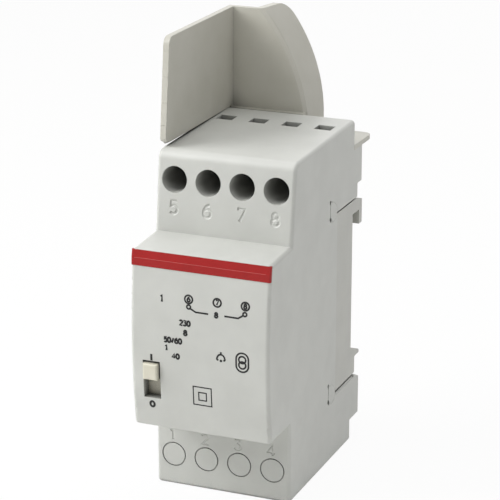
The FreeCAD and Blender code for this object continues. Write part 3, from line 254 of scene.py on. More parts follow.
def wire_cover(name, light, dark):
    """Extruded PVC insulation: even colour, soft shine."""
    material, tree, place = new_material(name)
    clouds = add(tree, "ShaderNodeTexNoise", {}, {
        "Vector": place, "Scale": per_metre(COVER_CLOUD_MM), "Detail": 2.0})
    colour = add(tree, "ShaderNodeMix", {"data_type": "RGBA"}, {
        0: clouds.outputs["Fac"], 6: linear(light), 7: linear(dark)})
    shader = add(tree, "ShaderNodeBsdfPrincipled", {}, {
        "Base Color": colour.outputs[2], "Roughness": 0.35, "IOR": 1.53})
    close(tree, shader)
    return material


# Polycarbonate, moulded in a spark-eroded tool: an even pale grey with a satin, faintly grained skin
housing_plastic = moulded_plastic(
    "moulded_grey_polycarbonate", "CBCCC7", "C6C7C2",
    roughness=0.42, grain_mm=0.45, grain_height_mm=0.012, edge_mm=0.14)
# The same plastic from a second tool: a shade deeper and a little duller
cover_plastic = moulded_plastic(
    "moulded_grey_polycarbonate_cover", "C6C6C0", "C1C1BB",
    roughness=0.45, grain_mm=0.45, grain_height_mm=0.012, edge_mm=0.14)
# Polycarbonate from another batch: warmer grey, smoother, with more softly rounded edges
barrier_plastic = moulded_plastic(
    "moulded_warm_grey_polycarbonate", "C6C4BA", "C1BFB4",
    roughness=0.4, grain_mm=0.5, grain_height_mm=0.01, edge_mm=0.3)
# Glass-filled polyamide: slightly waxy grey with slow changes of tone
clip_plastic = moulded_plastic(
    "moulded_grey_polyamide_clip", "C0C0B9", "BBBBB4",
    roughness=0.42, grain_mm=0.45, grain_height_mm=0.01, edge_mm=0.2)
# ABS, polished in the tool: warm cream with a brighter, softer shine than the housing
button_plastic = moulded_plastic(
    "polished_cream_abs_button", "DDD9C8", "D6D2C0",
    roughness=0.34, grain_mm=0.4, grain_height_mm=0.008, edge_mm=0.3)
# Phenolic moulding: nearly black and matt
carrier_plastic = moulded_plastic(
    "moulded_dark_phenolic_carrier", "2E2E2D", "262625",
    roughness=0.5, grain_mm=0.5, grain_height_mm=0.01, edge_mm=0.1)
# Undyed polyamide: milky yellowish white, satin
bobbin_plastic = moulded_plastic(
    "moulded_natural_polyamide_bobbin", "DAD7CC", "D2CFC3",
    roughness=0.45, grain_mm=0.5, grain_height_mm=0.01, edge_mm=0.1)
# Red polystyrene strip, rolled smooth: saturated deep red with a soft gloss
strip_red = glossy_strip("smooth_red_polystyrene_strip", "A71B1A", "9C1716", roughness=0.2)
# The strip's polished crease: the same red, painted paler along the line as a painted highlight
crease_painted_highlight = glossy_strip("red_polystyrene_crease_painted_highlight", "BE4F4C", "B54643", roughness=0.14)
# Pad-printing ink: flat black film, thin enough to follow the plastic under it
ink_black = pad_print_ink("black_pad_print", "1E1E1D", "121212")
# Zinc-plated turned steel: middle grey with a soft shine and faint turning marks
screw_steel = plated_metal("zinc_plated_turned_screw", "9A9A96", "7E7E7A", roughness=0.34, streak_mm=0.6)
# Zinc-plated pressed steel: lighter, duller grey with drawn streaks
cage_steel = plated_metal("zinc_plated_pressed_cage", "A2A29C", "8B8B86", roughness=0.4, streak_mm=0.9)
# Tinned brass sheet: pale straw yellow with streaks of the rolling
plate_brass = plated_metal("tinned_rolled_brass_plate", "C9B98A", "B5A473", roughness=0.35, streak_mm=0.8)
# Bare brass sheet: clear yellow, brighter than the tinned one
contact_brass = plated_metal("rolled_brass_contact", "C8A863", "B4924E", roughness=0.3, streak_mm=0.7)
# Bare copper strip: warm orange-brown with a soft metal shine
contact_copper = plated_metal("rolled_copper_contact", "C07C57", "A96845", roughness=0.3, streak_mm=0.7)
# Tinned steel can, deep drawn: light, almost white metal
fuse_case = plated_metal("tinned_drawn_fuse_case", "C2C2BC", "ABABA5", roughness=0.3, streak_mm=0.8)
# Stacked silicon steel sheets: grey metal with darker lines. A sheet is about 0.5 mm thick, too fine to
# show, so the lines are drawn 3 mm apart
core_steel = banded(
    "stacked_silicon_steel_sheets", "6A6A6C", "434345",
    band_mm=3.14, axis="X", metallic=1.0, roughness=0.45)
# Enamelled copper wire, close wound: glossy brown-orange turns with dark lines between them. The wire is
# 0.1 to 0.6 mm thick, too fine to show, so its turns are drawn 2.5 mm wide
winding_copper = banded(
    "wound_enamelled_copper_wire", "B4662F", "7C3F1B",
    band_mm=2.51, axis="Y", metallic=0.6, roughness=0.35)
# Polyester tape, lapped in 19 mm turns: amber yellow, smooth, with one faint line for each lap
winding_tape = banded(
    "smooth_yellow_polyester_tape", "D9B53C", "C9A42F",
    band_mm=18.85, axis="Y", metallic=0.0, roughness=0.3)
# PVC wire insulation in four colours: even colour with a soft, slightly greasy shine
lead_black = wire_cover("extruded_black_pvc_wire", "1C1C1C", "141414")
lead_brown = wire_cover("extruded_brown_pvc_wire", "5A3420", "4B2A19")
lead_blue = wire_cover("extruded_blue_pvc_wire", "24549E", "1D478A")
lead_white = wire_cover("extruded_white_pvc_wire", "E2E2DE", "D6D6D1")

FINISHES = {
    "housing": housing_plastic,
    "rear_cover": cover_plastic,
    "barrier": barrier_plastic,
    "marker_strip": strip_red,
    "rail_clip": clip_plastic,
    "switch_slider": button_plastic,
    "switch_bridge": contact_copper,
    "switch_carrier": carrier_plastic,
    "switch_contact": contact_brass,
    "core_": core_steel,
    "bobbin": bobbin_plastic,
    "primary_winding": winding_copper,
    "secondary_winding": winding_copper,
    "primary_tape": winding_tape,
    "secondary_tape": winding_tape,
    "thermal_fuse": fuse_case,
    "lead_live_in": lead_black,
    "lead_switched": lead_brown,
    "lead_neutral": lead_blue,
    "lead_output": lead_white,
    "terminal_cage": cage_steel,
    "terminal_plate": plate_brass,
    "terminal_screws": screw_steel,
}


def finish_of(node):
    """The material whose key starts the node's name."""
    return next(material for key, material in FINISHES.items() if node.startswith(key))


for node_name, node_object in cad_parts.items():
    for material_slot in node_object.material_slots:
        material_slot.material = finish_of(node_name)


# Strokes of numerals and symbols

def arc(cx, cz, rx, rz, start, end, steps=18):
    """Points along part of an ellipse, between two angles in degrees."""
    angles = [math.radians(start + (end - start) * i / steps) for i in range(steps + 1)]
    return [(cx + rx * math.cos(a), cz + rz * math.sin(a)) for a in angles]


# Each numeral is a list of strokes in a cell 2 wide and this high round its middle
CELL_HEIGHT = 3.2
NUMERALS = {
    "0": [arc(0, 0, 1.0, 1.6, 90, 450, 28)],
    "1": [[(-0.55, 0.95), (0.15, 1.6), (0.15, -1.6)]],
    "2": [arc(0, 0.7, 0.95, 0.9, 165, -35) + [(-1.0, -1.6), (1.05, -1.6)]],
    "3": [[(-0.9, 1.6), (0.9, 1.6), (-0.05, 0.4)] + arc(-0.05, -0.6, 1.0, 1.0, 88, -150)],
    "4": [[(0.5, -1.6), (0.5, 1.6), (-1.1, -0.75), (1.15, -0.75)]],
    "5": [[(0.85, 1.6), (-0.7, 1.6), (-0.88, 0.1)] + arc(-0.02, -0.55, 1.0, 1.05, 118, -145)],
    "6": [arc(0.95, -0.6, 1.95, 2.2, 98, 178), arc(0, -0.6, 1.0, 1.0, 180, 540, 26)],
    "7": [[(-1.0, 1.6), (1.0, 1.6), (-0.35, -1.6)]],
    "8": [arc(0, 0.85, 0.78, 0.75, -90, 270, 24), arc(0, -0.75, 0.98, 0.85, 90, 450, 26)],
    "/": [[(-0.6, -1.6), (0.6, 1.6)]],
}


def stroke_tree():
    """Geometry nodes that give every stroke a round section, closed at its ends."""
    tree = bpy.data.node_groups.new("round_stroke", "GeometryNodeTree")
    tree.interface.new_socket("Strokes", in_out="INPUT", socket_type="NodeSocketGeometry")
    tree.interface.new_socket("Stroke Width", in_out="INPUT", socket_type="NodeSocketFloat")
    tree.interface.new_socket("Finish", in_out="INPUT", socket_type="NodeSocketMaterial")
    tree.interface.new_socket("Geometry", in_out="OUTPUT", socket_type="NodeSocketGeometry")
    given = add(tree, "NodeGroupInput", {}, {})
    half = add(tree, "ShaderNodeMath", {"operation": "MULTIPLY"}, {
        0: given.outputs["Stroke Width"], 1: 0.5})
    section = add(tree, "GeometryNodeCurvePrimitiveCircle", {}, {
        "Resolution": 16, "Radius": half.outputs["Value"]})
    swept = add(tree, "GeometryNodeCurveToMesh", {}, {
        "Curve": given.outputs["Strokes"], "Profile Curve": section.outputs["Curve"], "Fill Caps": True})
    real = add(tree, "GeometryNodeRealizeInstances", {}, {"Geometry": swept.outputs["Mesh"]})
    dressed = add(tree, "GeometryNodeSetMaterial", {}, {
        "Geometry": real.outputs["Geometry"], "Material": given.outputs["Finish"]})
    result = add(tree, "NodeGroupOutput", {}, {})
    tree.links.new(dressed.outputs["Geometry"], result.inputs["Geometry"])
    return tree


STROKE_TREE = stroke_tree()


def placed(strokes, centre_x, centre_z, scale):
    """Strokes moved to a place on a face and scaled, as lists of (x, z) in millimetres."""
    return [[(centre_x + scale * x, centre_z + scale * z) for x, z in stroke] for stroke in strokes]


def numeral_row(text, centre_x, centre_z, height, pitch=0):
    """Strokes of a number, centred on a place. One figure alone needs no pitch."""
    start = centre_x - pitch * (len(text) - 1) / 2
    strokes = []
    for i, figure in enumerate(text):
        strokes += placed(NUMERALS[figure], start + i * pitch, centre_z, height / CELL_HEIGHT)
    return strokes


def run_tree(name, data, tree, values):
    """Plain mesh that a geometry nodes tree makes of a curve, with the tree's inputs set by name."""
    holder = bpy.data.objects.new(name, data)
    bpy.context.scene.collection.objects.link(holder)
    modifier = holder.modifiers.new(name, "NODES")
    modifier.node_group = tree
    sockets = {item.name: item.identifier for item in tree.interface.items_tree}
    for label, value in values.items():
        modifier[sockets[label]] = value
    bpy.context.view_layer.update()
    evaluated = holder.evaluated_get(bpy.context.evaluated_depsgraph_get())
    mesh = bpy.data.meshes.new_from_object(evaluated)
    mesh.name = name
    holder.modifiers.clear()
    bpy.data.objects.remove(holder)
    return mesh


def on_face(face, strokes, lift=0.0):
    """Strokes on a face, or lifted in front of it, as lists of points in space."""
    points = [[face(x, z) for x, z in stroke] for stroke in strokes]
    return [[(x, y - lift, z) for x, y, z in path] for path in points]


SAME_POINT_MM = 1e-6


def swept_strokes(name, paths, width_mm, finish):
    """Mesh of round strokes along paths in space. A path that ends where it starts is closed."""
    curve = bpy.data.curves.new(name, "CURVE")
    curve.dimensions = "3D"
    for path in paths:
        closed = len(path) > 2 and math.dist(path[0], path[-1]) < SAME_POINT_MM
        places = path[:-1] if closed else path
        spline = curve.splines.new("POLY")
        spline.points.add(len(places) - 1)
        spline.use_cyclic_u = closed
        for point, place in zip(spline.points, places):
            point.co = (*(v * MM for v in place), 1.0)
    return run_tree(name, curve, STROKE_TREE, {"Stroke Width": width_mm * MM, "Finish": finish})


def upper_face(x, z):
    """Point on the leaning face above the panel."""
    (foot_y, foot_z), (head_y, head_z) = UPPER_FACE_FOOT, UPPER_FACE_HEAD
    return x, foot_y + (head_y - foot_y) * (z - foot_z) / (head_z - foot_z), z


def lower_face(x, z):
    """Point on the upright face below the panel."""
    return x, LOWER_FACE_Y, z


def panel_face(x, z):
    """Point on the bowed front panel."""
    radius = (HALF_PANEL ** 2 + PANEL_CROWN ** 2) / (2 * PANEL_CROWN)
    return x, PANEL_EDGE_Y - PANEL_CROWN + radius - math.sqrt(radius ** 2 - z ** 2), z


# Housing with engraved numerals

def merged_copy(node, name):
    """Closed copy of a CAD node's mesh, with the corners of its triangles joined."""
    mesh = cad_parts[node].data.copy()
    mesh.name = name
    work = bmesh.new()
    work.from_mesh(mesh)
    bmesh.ops.remove_doubles(work, verts=work.verts, dist=TOUCHING)
    work.to_mesh(mesh)
    work.free()
    return mesh


def link(name, mesh):
    """Object for a finished mesh, at the origin."""
    made = bpy.data.objects.new(name, mesh)
    bpy.context.scene.collection.objects.link(made)
    return made


def take_modifiers(thing):
    """The object's mesh with its modifiers applied, and the modifiers removed."""
    bpy.context.view_layer.update()
    evaluated = thing.evaluated_get(bpy.context.evaluated_depsgraph_get())
    mesh = bpy.data.meshes.new_from_object(evaluated)
    thing.modifiers.clear()
    thing.data = mesh


# A face this broad stays even. Faces that turn by more than CREASE meet in a sharp edge, broad ones that
# turn by less than GENTLE belong to one bowed face, and those within COPLANAR lie in one plane
BROAD_MM = 1.0
CREASE = math.cos(math.radians(32))
GENTLE = math.cos(math.radians(3))
COPLANAR = math.cos(math.radians(0.1))

# Kinds of face: where two kinds meet, the later one in this row gives the direction
ROUNDING, BOWED, FLAT = 0, 1, 2


def face_regions(work):
    """Groups of touching coplanar faces, and how broad each group is on average."""
    region = {}
    breadth = []
    for seed in work.faces:
        if seed.index in region:
            continue
        number = len(breadth)
        region[seed.index] = number
        members, front = [seed], [seed]
        while front:
            face = front.pop()
            for edge in face.edges:
                for other in edge.link_faces:
                    if other.index not in region and other.normal.dot(seed.normal) > COPLANAR:
                        region[other.index] = number
                        members.append(other)
                        front.append(other)
        corners = [v.co for f in members for v in f.verts]
        spans = [max(c[i] for c in corners) - min(c[i] for c in corners) for i in range(3)]
        breadth.append(sum(f.calc_area() for f in members) / max(math.hypot(*spans), 1e-9))
    return region, breadth


def shade_as_moulded(mesh):
    """Shading normals of a moulded form: flat faces stay even, a bowed one runs on smoothly, and the
    narrow roundings between them blend."""
    work = bmesh.new()
    work.from_mesh(mesh)
    bmesh.ops.remove_doubles(work, verts=work.verts, dist=SLIVER)
    bmesh.ops.dissolve_degenerate(work, edges=work.edges, dist=SLIVER)
    work.normal_update()
    work.faces.index_update()
    work.to_mesh(mesh)
    region, breadth = face_regions(work)
    kind = {}
    for face in work.faces:
        number = region[face.index]
        if breadth[number] < BROAD_MM * MM:
            kind[face.index] = ROUNDING
            continue
        bowed = any(
            region[other.index] != number
            and breadth[region[other.index]] >= BROAD_MM * MM
            and other.normal.dot(face.normal) > GENTLE
            for edge in face.edges for other in edge.link_faces)
        kind[face.index] = BOWED if bowed else FLAT
    lowest = {}
    for face in work.faces:
        number = region[face.index]
        lowest[number] = min(lowest.get(number, FLAT), kind[face.index])
    normals = []
    for face in work.faces:
        for loop in face.loops:
            around = [
                (lowest[region[other.face.index]], other.face.normal, other.calc_angle())
                for other in loop.vert.link_loops
                if other.face.normal.dot(face.normal) > CREASE]
            if lowest[region[face.index]] == FLAT or not around:
                normals.append(face.normal.copy())
                continue
            best = max(entry[0] for entry in around)
            total = Vector()
            for level, normal, angle in around:
                if level == best:
                    total += normal * angle
            normals.append(total.normalized() if total.length > 0 else face.normal.copy())
    work.free()
    mesh.shade_smooth()
    mesh.normals_split_custom_set(normals)


def cut_with(thing, cutters):
    """Cuts closed cutter objects out of a piece, and removes the cutters."""
    for cutter in cutters:
        cut = thing.modifiers.new(cutter.name, "BOOLEAN")
        cut.operation = "DIFFERENCE"
        cut.solver = "EXACT"
        cut.use_self = True
        cut.object = cutter
    take_modifiers(thing)
    for cutter in cutters:
        bpy.data.objects.remove(cutter)


def dress(thing, finish):
    """Gives the whole piece one finish."""
    thing.data.materials.clear()
    thing.data.materials.append(finish)


def seat(thing, slot, *nodes):
    """Lets a finished piece ride on the transformer's body, in the place of the nodes it stands for."""
    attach(thing, "body")
    if nodes:
        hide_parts(*nodes)


# Housing: engraved terminal numbers, softened seams, and snap windows with a hole at the foot. The round
# cutters of the numerals stand partly in front of their face, and those of the lower row are smaller
UPPER_NUMERAL_Z = 29.3
UPPER_NUMERAL_SHIFT = 0.05
LOWER_NUMERAL_Z = -29.8
LOWER_NUMERAL_SHIFT = -0.35
NUMERAL_HEIGHT = 3.1
NUMERAL_WIDTH = 0.95
NUMERAL_LIFT = 0.24
LOWER_NUMERAL_HEIGHT = NUMERAL_HEIGHT * 0.9
LOWER_NUMERAL_WIDTH = NUMERAL_WIDTH * 0.88
SEAM_WIDTH = 0.62
SEAM_ENDS = (SEAM_FRONT_Y + 0.2, 2.0)
WINDOW_LINE_WIDTH = 0.16
WINDOW_HOLE_WIDTH = 1.2
WINDOW_HOLE_DROP = 0.55
TONGUE_WIDTH = 0.56
# Across the flank: a window's hole from outside to inside the wall, and the middle of the latch tongue
WINDOW_HOLE_ENDS = (HALF_WIDTH + 0.6, HALF_WIDTH - WALL - 0.8)
TONGUE_X = HALF_WIDTH - 0.31


def flank(side):
    """Face function of one flank, which takes (y, z)."""
    return lambda y, z: (side * HALF_WIDTH, y, z)


def window_outline(seam_z):
    """Thin line that runs from the window's foot, round its back, to the window's head."""
    foot, head = seam_z - 1.0, seam_z + WINDOW_HEIGHT - 0.4
    return [
        (WINDOW_Y + 0.3, foot - 0.2), (WINDOW_Y + 2.6, foot - 0.45), (SEAM_FRONT_Y - 0.4, foot + 0.1),
        (SEAM_FRONT_Y, seam_z), (SEAM_FRONT_Y - 0.2, seam_z + 1.8), (SEAM_FRONT_Y - 1.6, head - 0.9),
        (WINDOW_Y + 2.0, head - 0.1), (WINDOW_Y + 0.4, head)]


upper_marks, lower_marks = [], []
for figure, x in zip("5678", TERMINAL_XS):
    upper_marks += numeral_row(figure, x + UPPER_NUMERAL_SHIFT, UPPER_NUMERAL_Z, NUMERAL_HEIGHT)
for figure, x in zip("1234", TERMINAL_XS):
    lower_marks += numeral_row(figure, x + LOWER_NUMERAL_SHIFT, LOWER_NUMERAL_Z, LOWER_NUMERAL_HEIGHT)
seams, outlines, holes, tongues = [], [], [], []
for side in (-1, 1):
    for seam_z in SEAM_ZS:
        foot_z = seam_z - WINDOW_HOLE_DROP
        seams += on_face(flank(side), [[(y, seam_z) for y in SEAM_ENDS]])
        outlines += on_face(flank(side), [window_outline(seam_z)])
        holes.append([(side * x, WINDOW_Y + 0.3, foot_z) for x in WINDOW_HOLE_ENDS])
        tongues.append([(side * TONGUE_X, WINDOW_Y, foot_z + 0.95),
                        (side * TONGUE_X, WINDOW_Y, foot_z + WINDOW_HEIGHT - 0.45)])

shell = link("housing_engraved", merged_copy("housing", "housing_engraved"))
cut_with(shell, [link(name, swept_strokes(name, paths, width, housing_plastic)) for name, paths, width in (
    ("upper_numerals", on_face(upper_face, upper_marks, NUMERAL_LIFT), NUMERAL_WIDTH),
    ("lower_numerals", on_face(lower_face, lower_marks, NUMERAL_LIFT), LOWER_NUMERAL_WIDTH),
    ("cover_seams", seams, SEAM_WIDTH),
    ("window_outlines", outlines, WINDOW_LINE_WIDTH),
    ("window_holes", holes, WINDOW_HOLE_WIDTH))])
dress(shell, housing_plastic)
shade_as_moulded(shell.data)
seat(shell, "housing_plastic", "housing")

latch_tongues = link(
    "latch_tongues", swept_strokes("latch_tongues", tongues, TONGUE_WIDTH, cover_plastic))
seat(latch_tongues, "cover_plastic")

# Marker strip: polished crease along its middle, a thin bead whose paler red is a painted highlight
STRIP_CREASE_Z = 20.5
STRIP_CREASE_PROUD = 0.2
STRIP_CREASE_WIDTH = 0.2
STRIP_CREASE_ENDS = (-HALF_WIDTH + 0.9, HALF_WIDTH - 1.3)
crease_y = panel_face(0.0, STRIP_CREASE_Z)[1] - STRIP_CREASE_PROUD
crease_path = [(x, crease_y, STRIP_CREASE_Z) for x in STRIP_CREASE_ENDS]
strip_crease = link(
    "strip_crease", swept_strokes("strip_crease", [crease_path], STRIP_CREASE_WIDTH, crease_painted_highlight))
seat(strip_crease, "strip_red")

# Barrier: side plate that sits along the top's rounded edge, a foot that fits round the housing's
# corner, and fine moulding ridges across the plate's front edge
PLATE_ENDS = (-36.5, 0.5)
PLATE_DROP = 0.35
OUTER_DROP = 1.1
CORNER_X = 17.0
CORNER_Y = -0.15
FOOT_FRONT_Y = 1.0
FOOT_TOP_Z = 37.3
RIDGE_ZS = (66.4, 60.4, 54.1, 48.6)
RIDGE_WIDTH = 0.2
RIDGE_ENDS = (-HALF_WIDTH + 0.1, -HALF_WIDTH + 1.5)
RIDGE_SINK = 0.03
# A corner within ON_PLANE of a face lies on it, and one within MARGIN of a stretch belongs to it
ON_PLANE = 0.01
MARGIN = 0.1

mesh = merged_copy("barrier", "barrier_plate")
work = bmesh.new()
work.from_mesh(mesh)
for point, normal in (
        ((0, PLATE_ENDS[0], 0), (0, 1, 0)), ((0, PLATE_ENDS[1], 0), (0, 1, 0)),
        ((CORNER_X, 0, 0), (1, 0, 0))):
    bmesh.ops.bisect_plane(
        work, geom=work.verts[:] + work.edges[:] + work.faces[:], dist=TOUCHING,
        plane_co=Vector(point) * MM, plane_no=Vector(normal))
for vertex in work.verts:
    x, y, z = (c / MM for c in vertex.co)
    if abs(z - PLATE_FOOT_Z) < ON_PLANE and PLATE_ENDS[0] - MARGIN < y < PLATE_ENDS[1] + MARGIN:
        vertex.co.z -= (OUTER_DROP if x < -HALF_WIDTH + MARGIN else PLATE_DROP) * MM
    if x > HALF_WIDTH - ON_PLANE and abs(y - FOOT_FRONT_Y) < ON_PLANE and z < FOOT_TOP_Z + MARGIN:
        vertex.co.y = CORNER_Y * MM
work.to_mesh(mesh)
work.free()
barrier_plate = link("barrier_plate", mesh)
dress(barrier_plate, barrier_plastic)
shade_as_moulded(mesh)
seat(barrier_plate, "barrier_plastic", "barrier")

ridges = []
for z in RIDGE_ZS:
    edge_y = PLATE_FOOT_Y + PLATE_LEAN * (z - PLATE_FOOT_Z) / (PLATE_HEAD_Z - PLATE_FOOT_Z)
    ridges.append([(x, edge_y + RIDGE_SINK, z) for x in RIDGE_ENDS])
edge_ridges = link("edge_ridges", swept_strokes("edge_ridges", ridges, RIDGE_WIDTH, barrier_plastic))
seat(edge_ridges, "barrier_plastic")


# Clamp screws: turned cheese heads with a slot, in two rows, each slot turned its own way by up to
# SLOT_TURN radians
SLOT_TURN = 0.7


def screw_tree():
    """Geometry nodes for turned, slotted screws that stand in two rows with their heads to the front."""
    tree = bpy.data.node_groups.new("slotted_screws", "GeometryNodeTree")
    for name, kind in (
            ("Turning", "Geometry"), ("Upper Start", "Vector"), ("Lower Start", "Vector"),
            ("Step", "Vector"), ("Screws In Row", "Int"), ("Slot Size", "Vector"), ("Seed", "Int"),
            ("Finish", "Material")):
        tree.interface.new_socket(name, in_out="INPUT", socket_type="NodeSocket" + kind)
    tree.interface.new_socket("Geometry", in_out="OUTPUT", socket_type="NodeSocketGeometry")
    given = add(tree, "NodeGroupInput", {}, {}).outputs
    section = add(tree, "GeometryNodeCurvePrimitiveCircle", {}, {"Resolution": 40, "Radius": 1.0})
    radius = add(tree, "GeometryNodeInputRadius", {}, {})
    turned = add(tree, "GeometryNodeCurveToMesh", {}, {
        "Curve": given["Turning"], "Profile Curve": section.outputs["Curve"],
        "Scale": radius.outputs["Radius"], "Fill Caps": True})
    slot = add(tree, "GeometryNodeMeshCube", {}, {"Size": given["Slot Size"]})
    slotted = add(tree, "GeometryNodeMeshBoolean", {"operation": "DIFFERENCE", "solver": "EXACT"}, {
        "Mesh 1": turned.outputs["Mesh"], "Mesh 2": slot.outputs["Mesh"]})
    rows = [
        add(tree, "GeometryNodeMeshLine", {"mode": "OFFSET"}, {
            "Count": given["Screws In Row"], "Start Location": given[start], "Offset": given["Step"]})
        for start in ("Upper Start", "Lower Start")]
    places = add(tree, "GeometryNodeJoinGeometry", {}, {"Geometry": rows[0].outputs["Mesh"]})
    tree.links.new(rows[1].outputs["Mesh"], places.inputs["Geometry"])
    turn = add(tree, "FunctionNodeRandomValue", {"data_type": "FLOAT"}, {
        2: -SLOT_TURN, 3: SLOT_TURN, "Seed": given["Seed"]})
    spin = add(tree, "ShaderNodeCombineXYZ", {}, {"X": math.pi / 2, "Y": turn.outputs[1]})
    stood = add(tree, "GeometryNodeInstanceOnPoints", {}, {
        "Points": places.outputs["Geometry"], "Instance": slotted.outputs["Mesh"],
        "Rotation": spin.outputs["Vector"]})
    real = add(tree, "GeometryNodeRealizeInstances", {}, {"Geometry": stood.outputs["Instances"]})
    dressed = add(tree, "GeometryNodeSetMaterial", {}, {
        "Geometry": real.outputs["Geometry"], "Material": given["Finish"]})
    result = add(tree, "NodeGroupOutput", {}, {})
    tree.links.new(dressed.outputs["Geometry"], result.inputs["Geometry"])
    return tree


# Half-section of a screw from the head's face back to the tip, as (height, radius)
TURNING = ((0.0, 2.5), (-0.3, 2.8), (-2.3, 2.8), (-2.31, 1.75), (-12.8, 1.75), (-13.3, 1.3))
profile = bpy.data.curves.new("clamp_screws", "CURVE")
profile.dimensions = "3D"
spline = profile.splines.new("POLY")
spline.points.add(len(TURNING) - 1)
for point, (height, radius) in zip(spline.points, TURNING):
    point.co = (0.0, 0.0, height * MM, 1.0)
    point.radius = radius * MM
screws = run_tree("clamp_screws", profile, screw_tree(), {
    "Upper Start": (TERMINAL_XS[0] * MM, SCREW_HEAD_Y * MM, SCREW_ZS[0] * MM),
    "Lower Start": (TERMINAL_XS[0] * MM, SCREW_HEAD_Y * MM, SCREW_ZS[1] * MM),
    "Step": (SCREW_PITCH * MM, 0.0, 0.0),
    "Screws In Row": len(TERMINAL_XS),
    "Slot Size": (6.0 * MM, 0.8 * MM, 2.0 * MM),
    "Seed": 7,
    "Finish": screw_steel})
clamp_screws = link("clamp_screws", screws)
seat(clamp_screws, "screw_steel", "terminal_screws")

# Printed marks on the panel: terminal numbers, plain figures and symbols in black ink. A round stroke is
# pressed to the thickness of the ink, and its edge falls off within PRESSED_EDGE
INK_THICKNESS = 0.02
PRESSED_EDGE = 0.08
BOLD_WIDTH = 0.6
FIGURE_WIDTH = 0.5
SYMBOL_WIDTH = 0.45
CLAPPER_WIDTH = 0.36


def flatten_on_panel(mesh):
    """Presses round strokes flat against the bowed panel, as a thin film of ink."""
    for vertex in mesh.vertices:
        x, y, z = (c / MM for c in vertex.co)
        base = panel_face(x, z)[1]
        height = max(-1.0, min(1.0, (y - base) / PRESSED_EDGE))
        vertex.co.y = (base + height * INK_THICKNESS) * MM


def ring(x, z, radius, steps):
    """Closed circle."""
    return arc(x, z, radius, radius, 90, 450, steps)


def rounded_frame(x0, x1, z0, z1, radius):
    """Closed upright frame with round corners."""
    corners = ((x1 - radius, z1 - radius, 0), (x0 + radius, z1 - radius, 90),
               (x0 + radius, z0 + radius, 180), (x1 - radius, z0 + radius, 270))
    points = [p for cx, cz, turn in corners for p in arc(cx, cz, radius, radius, turn, turn + 90, 8)]
    return points + points[:1]


def square_frame(x0, x1, z0, z1):
    """Closed frame with sharp corners."""
    return [(x0, z0), (x1, z0), (x1, z1), (x0, z1), (x0, z0)]


# I and O at the ends of the slider's slot, and two figures that stand alone
bold_marks = [[(-12.53, -3.15), (-12.53, -4.85)], arc(-12.78, -16.46, 0.54, 0.7, 90, 450, 26)]
bold_marks += numeral_row("1", -9.75, 11.3, 1.6) + numeral_row("1", -8.5, -0.95, 1.25)

# Plain numbers, each with the place of its middle, its height and the pitch of its figures
PLAIN_NUMBERS = (
    ("230", -3.65, 5.94, 1.2, 0.98), ("8", -3.5, 3.5, 1.2, 0), ("50/60", -6.8, 1.17, 1.2, 0.95),
    ("40", -6.1, -2.8, 1.2, 1.05), ("8", 4.45, 9.03, 1.15, 0))
figure_marks = [stroke for number in PLAIN_NUMBERS for stroke in numeral_row(*number)]

# Terminal numbers in circles
symbol_marks = []
for figure, (x, z) in zip("678", ((-2.73, 11.97), (4.64, 12.11), (11.84, 12.16))):
    symbol_marks += [ring(x, z, 1.0, 28)] + numeral_row(figure, x, z, 1.1)
# Terminal diagram: a small ring at each end, and the lines that run in from them
symbol_marks += [ring(x, z, 0.48, 18) for x, z in ((-2.69, 10.12), (11.76, 10.2))]
symbol_marks += [[(-2.35, 9.8), (-0.85, 9.05), (2.4, 9.03)], [(6.54, 9.08), (10.08, 9.04), (11.36, 9.9)]]
# Bell: its dome, its stem, and the two halves of its rim
symbol_marks += [
    arc(5.72, -2.05, 1.05, 1.4, 0, 180), [(5.72, 0.0), (5.72, -0.6)],
    [(4.62, -2.05), (5.1, -2.08)], [(6.34, -2.08), (6.82, -2.05)]]
# Double square
symbol_marks += [square_frame(-1.7, 3.02, -14.7, -9.95), square_frame(-0.3, 1.68, -13.42, -11.35)]
# Two linked rings in a rounded frame
symbol_marks += [rounded_frame(9.65, 12.8, -4.3, 0.5, 1.55)]
symbol_marks += [ring(11.22, z, 0.88, 24) for z in (-1.22, -2.58)]
# The bell's clapper
clapper_marks = [arc(5.72, -2.25, 0.17, 0.17, 0, 360, 12)]

for name, marks, width in (
        ("bold_print", bold_marks, BOLD_WIDTH), ("figure_print", figure_marks, FIGURE_WIDTH),
        ("symbol_print", symbol_marks, SYMBOL_WIDTH), ("clapper_print", clapper_marks, CLAPPER_WIDTH)):
    mesh = swept_strokes(name, on_face(panel_face, marks), width, ink_black)
    flatten_on_panel(mesh)
    seat(link(name, mesh), "housing_plastic")

# Stage, light and camera: how much of the paper's white is its own glow, and how bright the room is
# for the object
FLOOR_REACH = 3.0
PAPER_GLOW = 0.94
ROOM_LEVEL = 0.21

floor_mesh = bpy.data.meshes.new("floor")
floor_z = cad_box[0].z
corners = [(x * FLOOR_REACH, y * FLOOR_REACH, floor_z) for x, y in ((-1, -1), (1, -1), (1, 1), (-1, 1))]
floor_mesh.from_pydata(corners, [], [(0, 1, 2, 3)])
floor = link("floor", floor_mesh)


def seen_directly(tree):
    """1 for rays from the camera, and for those that glossy or clear surfaces send on."""
    path = add(tree, "ShaderNodeLightPath", {}, {})
    first = add(tree, "ShaderNodeMath", {"operation": "MAXIMUM"}, {
        0: path.outputs["Is Camera Ray"], 1: path.outputs["Is Glossy Ray"]})
    return add(tree, "ShaderNodeMath", {"operation": "MAXIMUM"}, {
        0: first.outputs["Value"], 1: path.outputs["Is Transmission Ray"]})


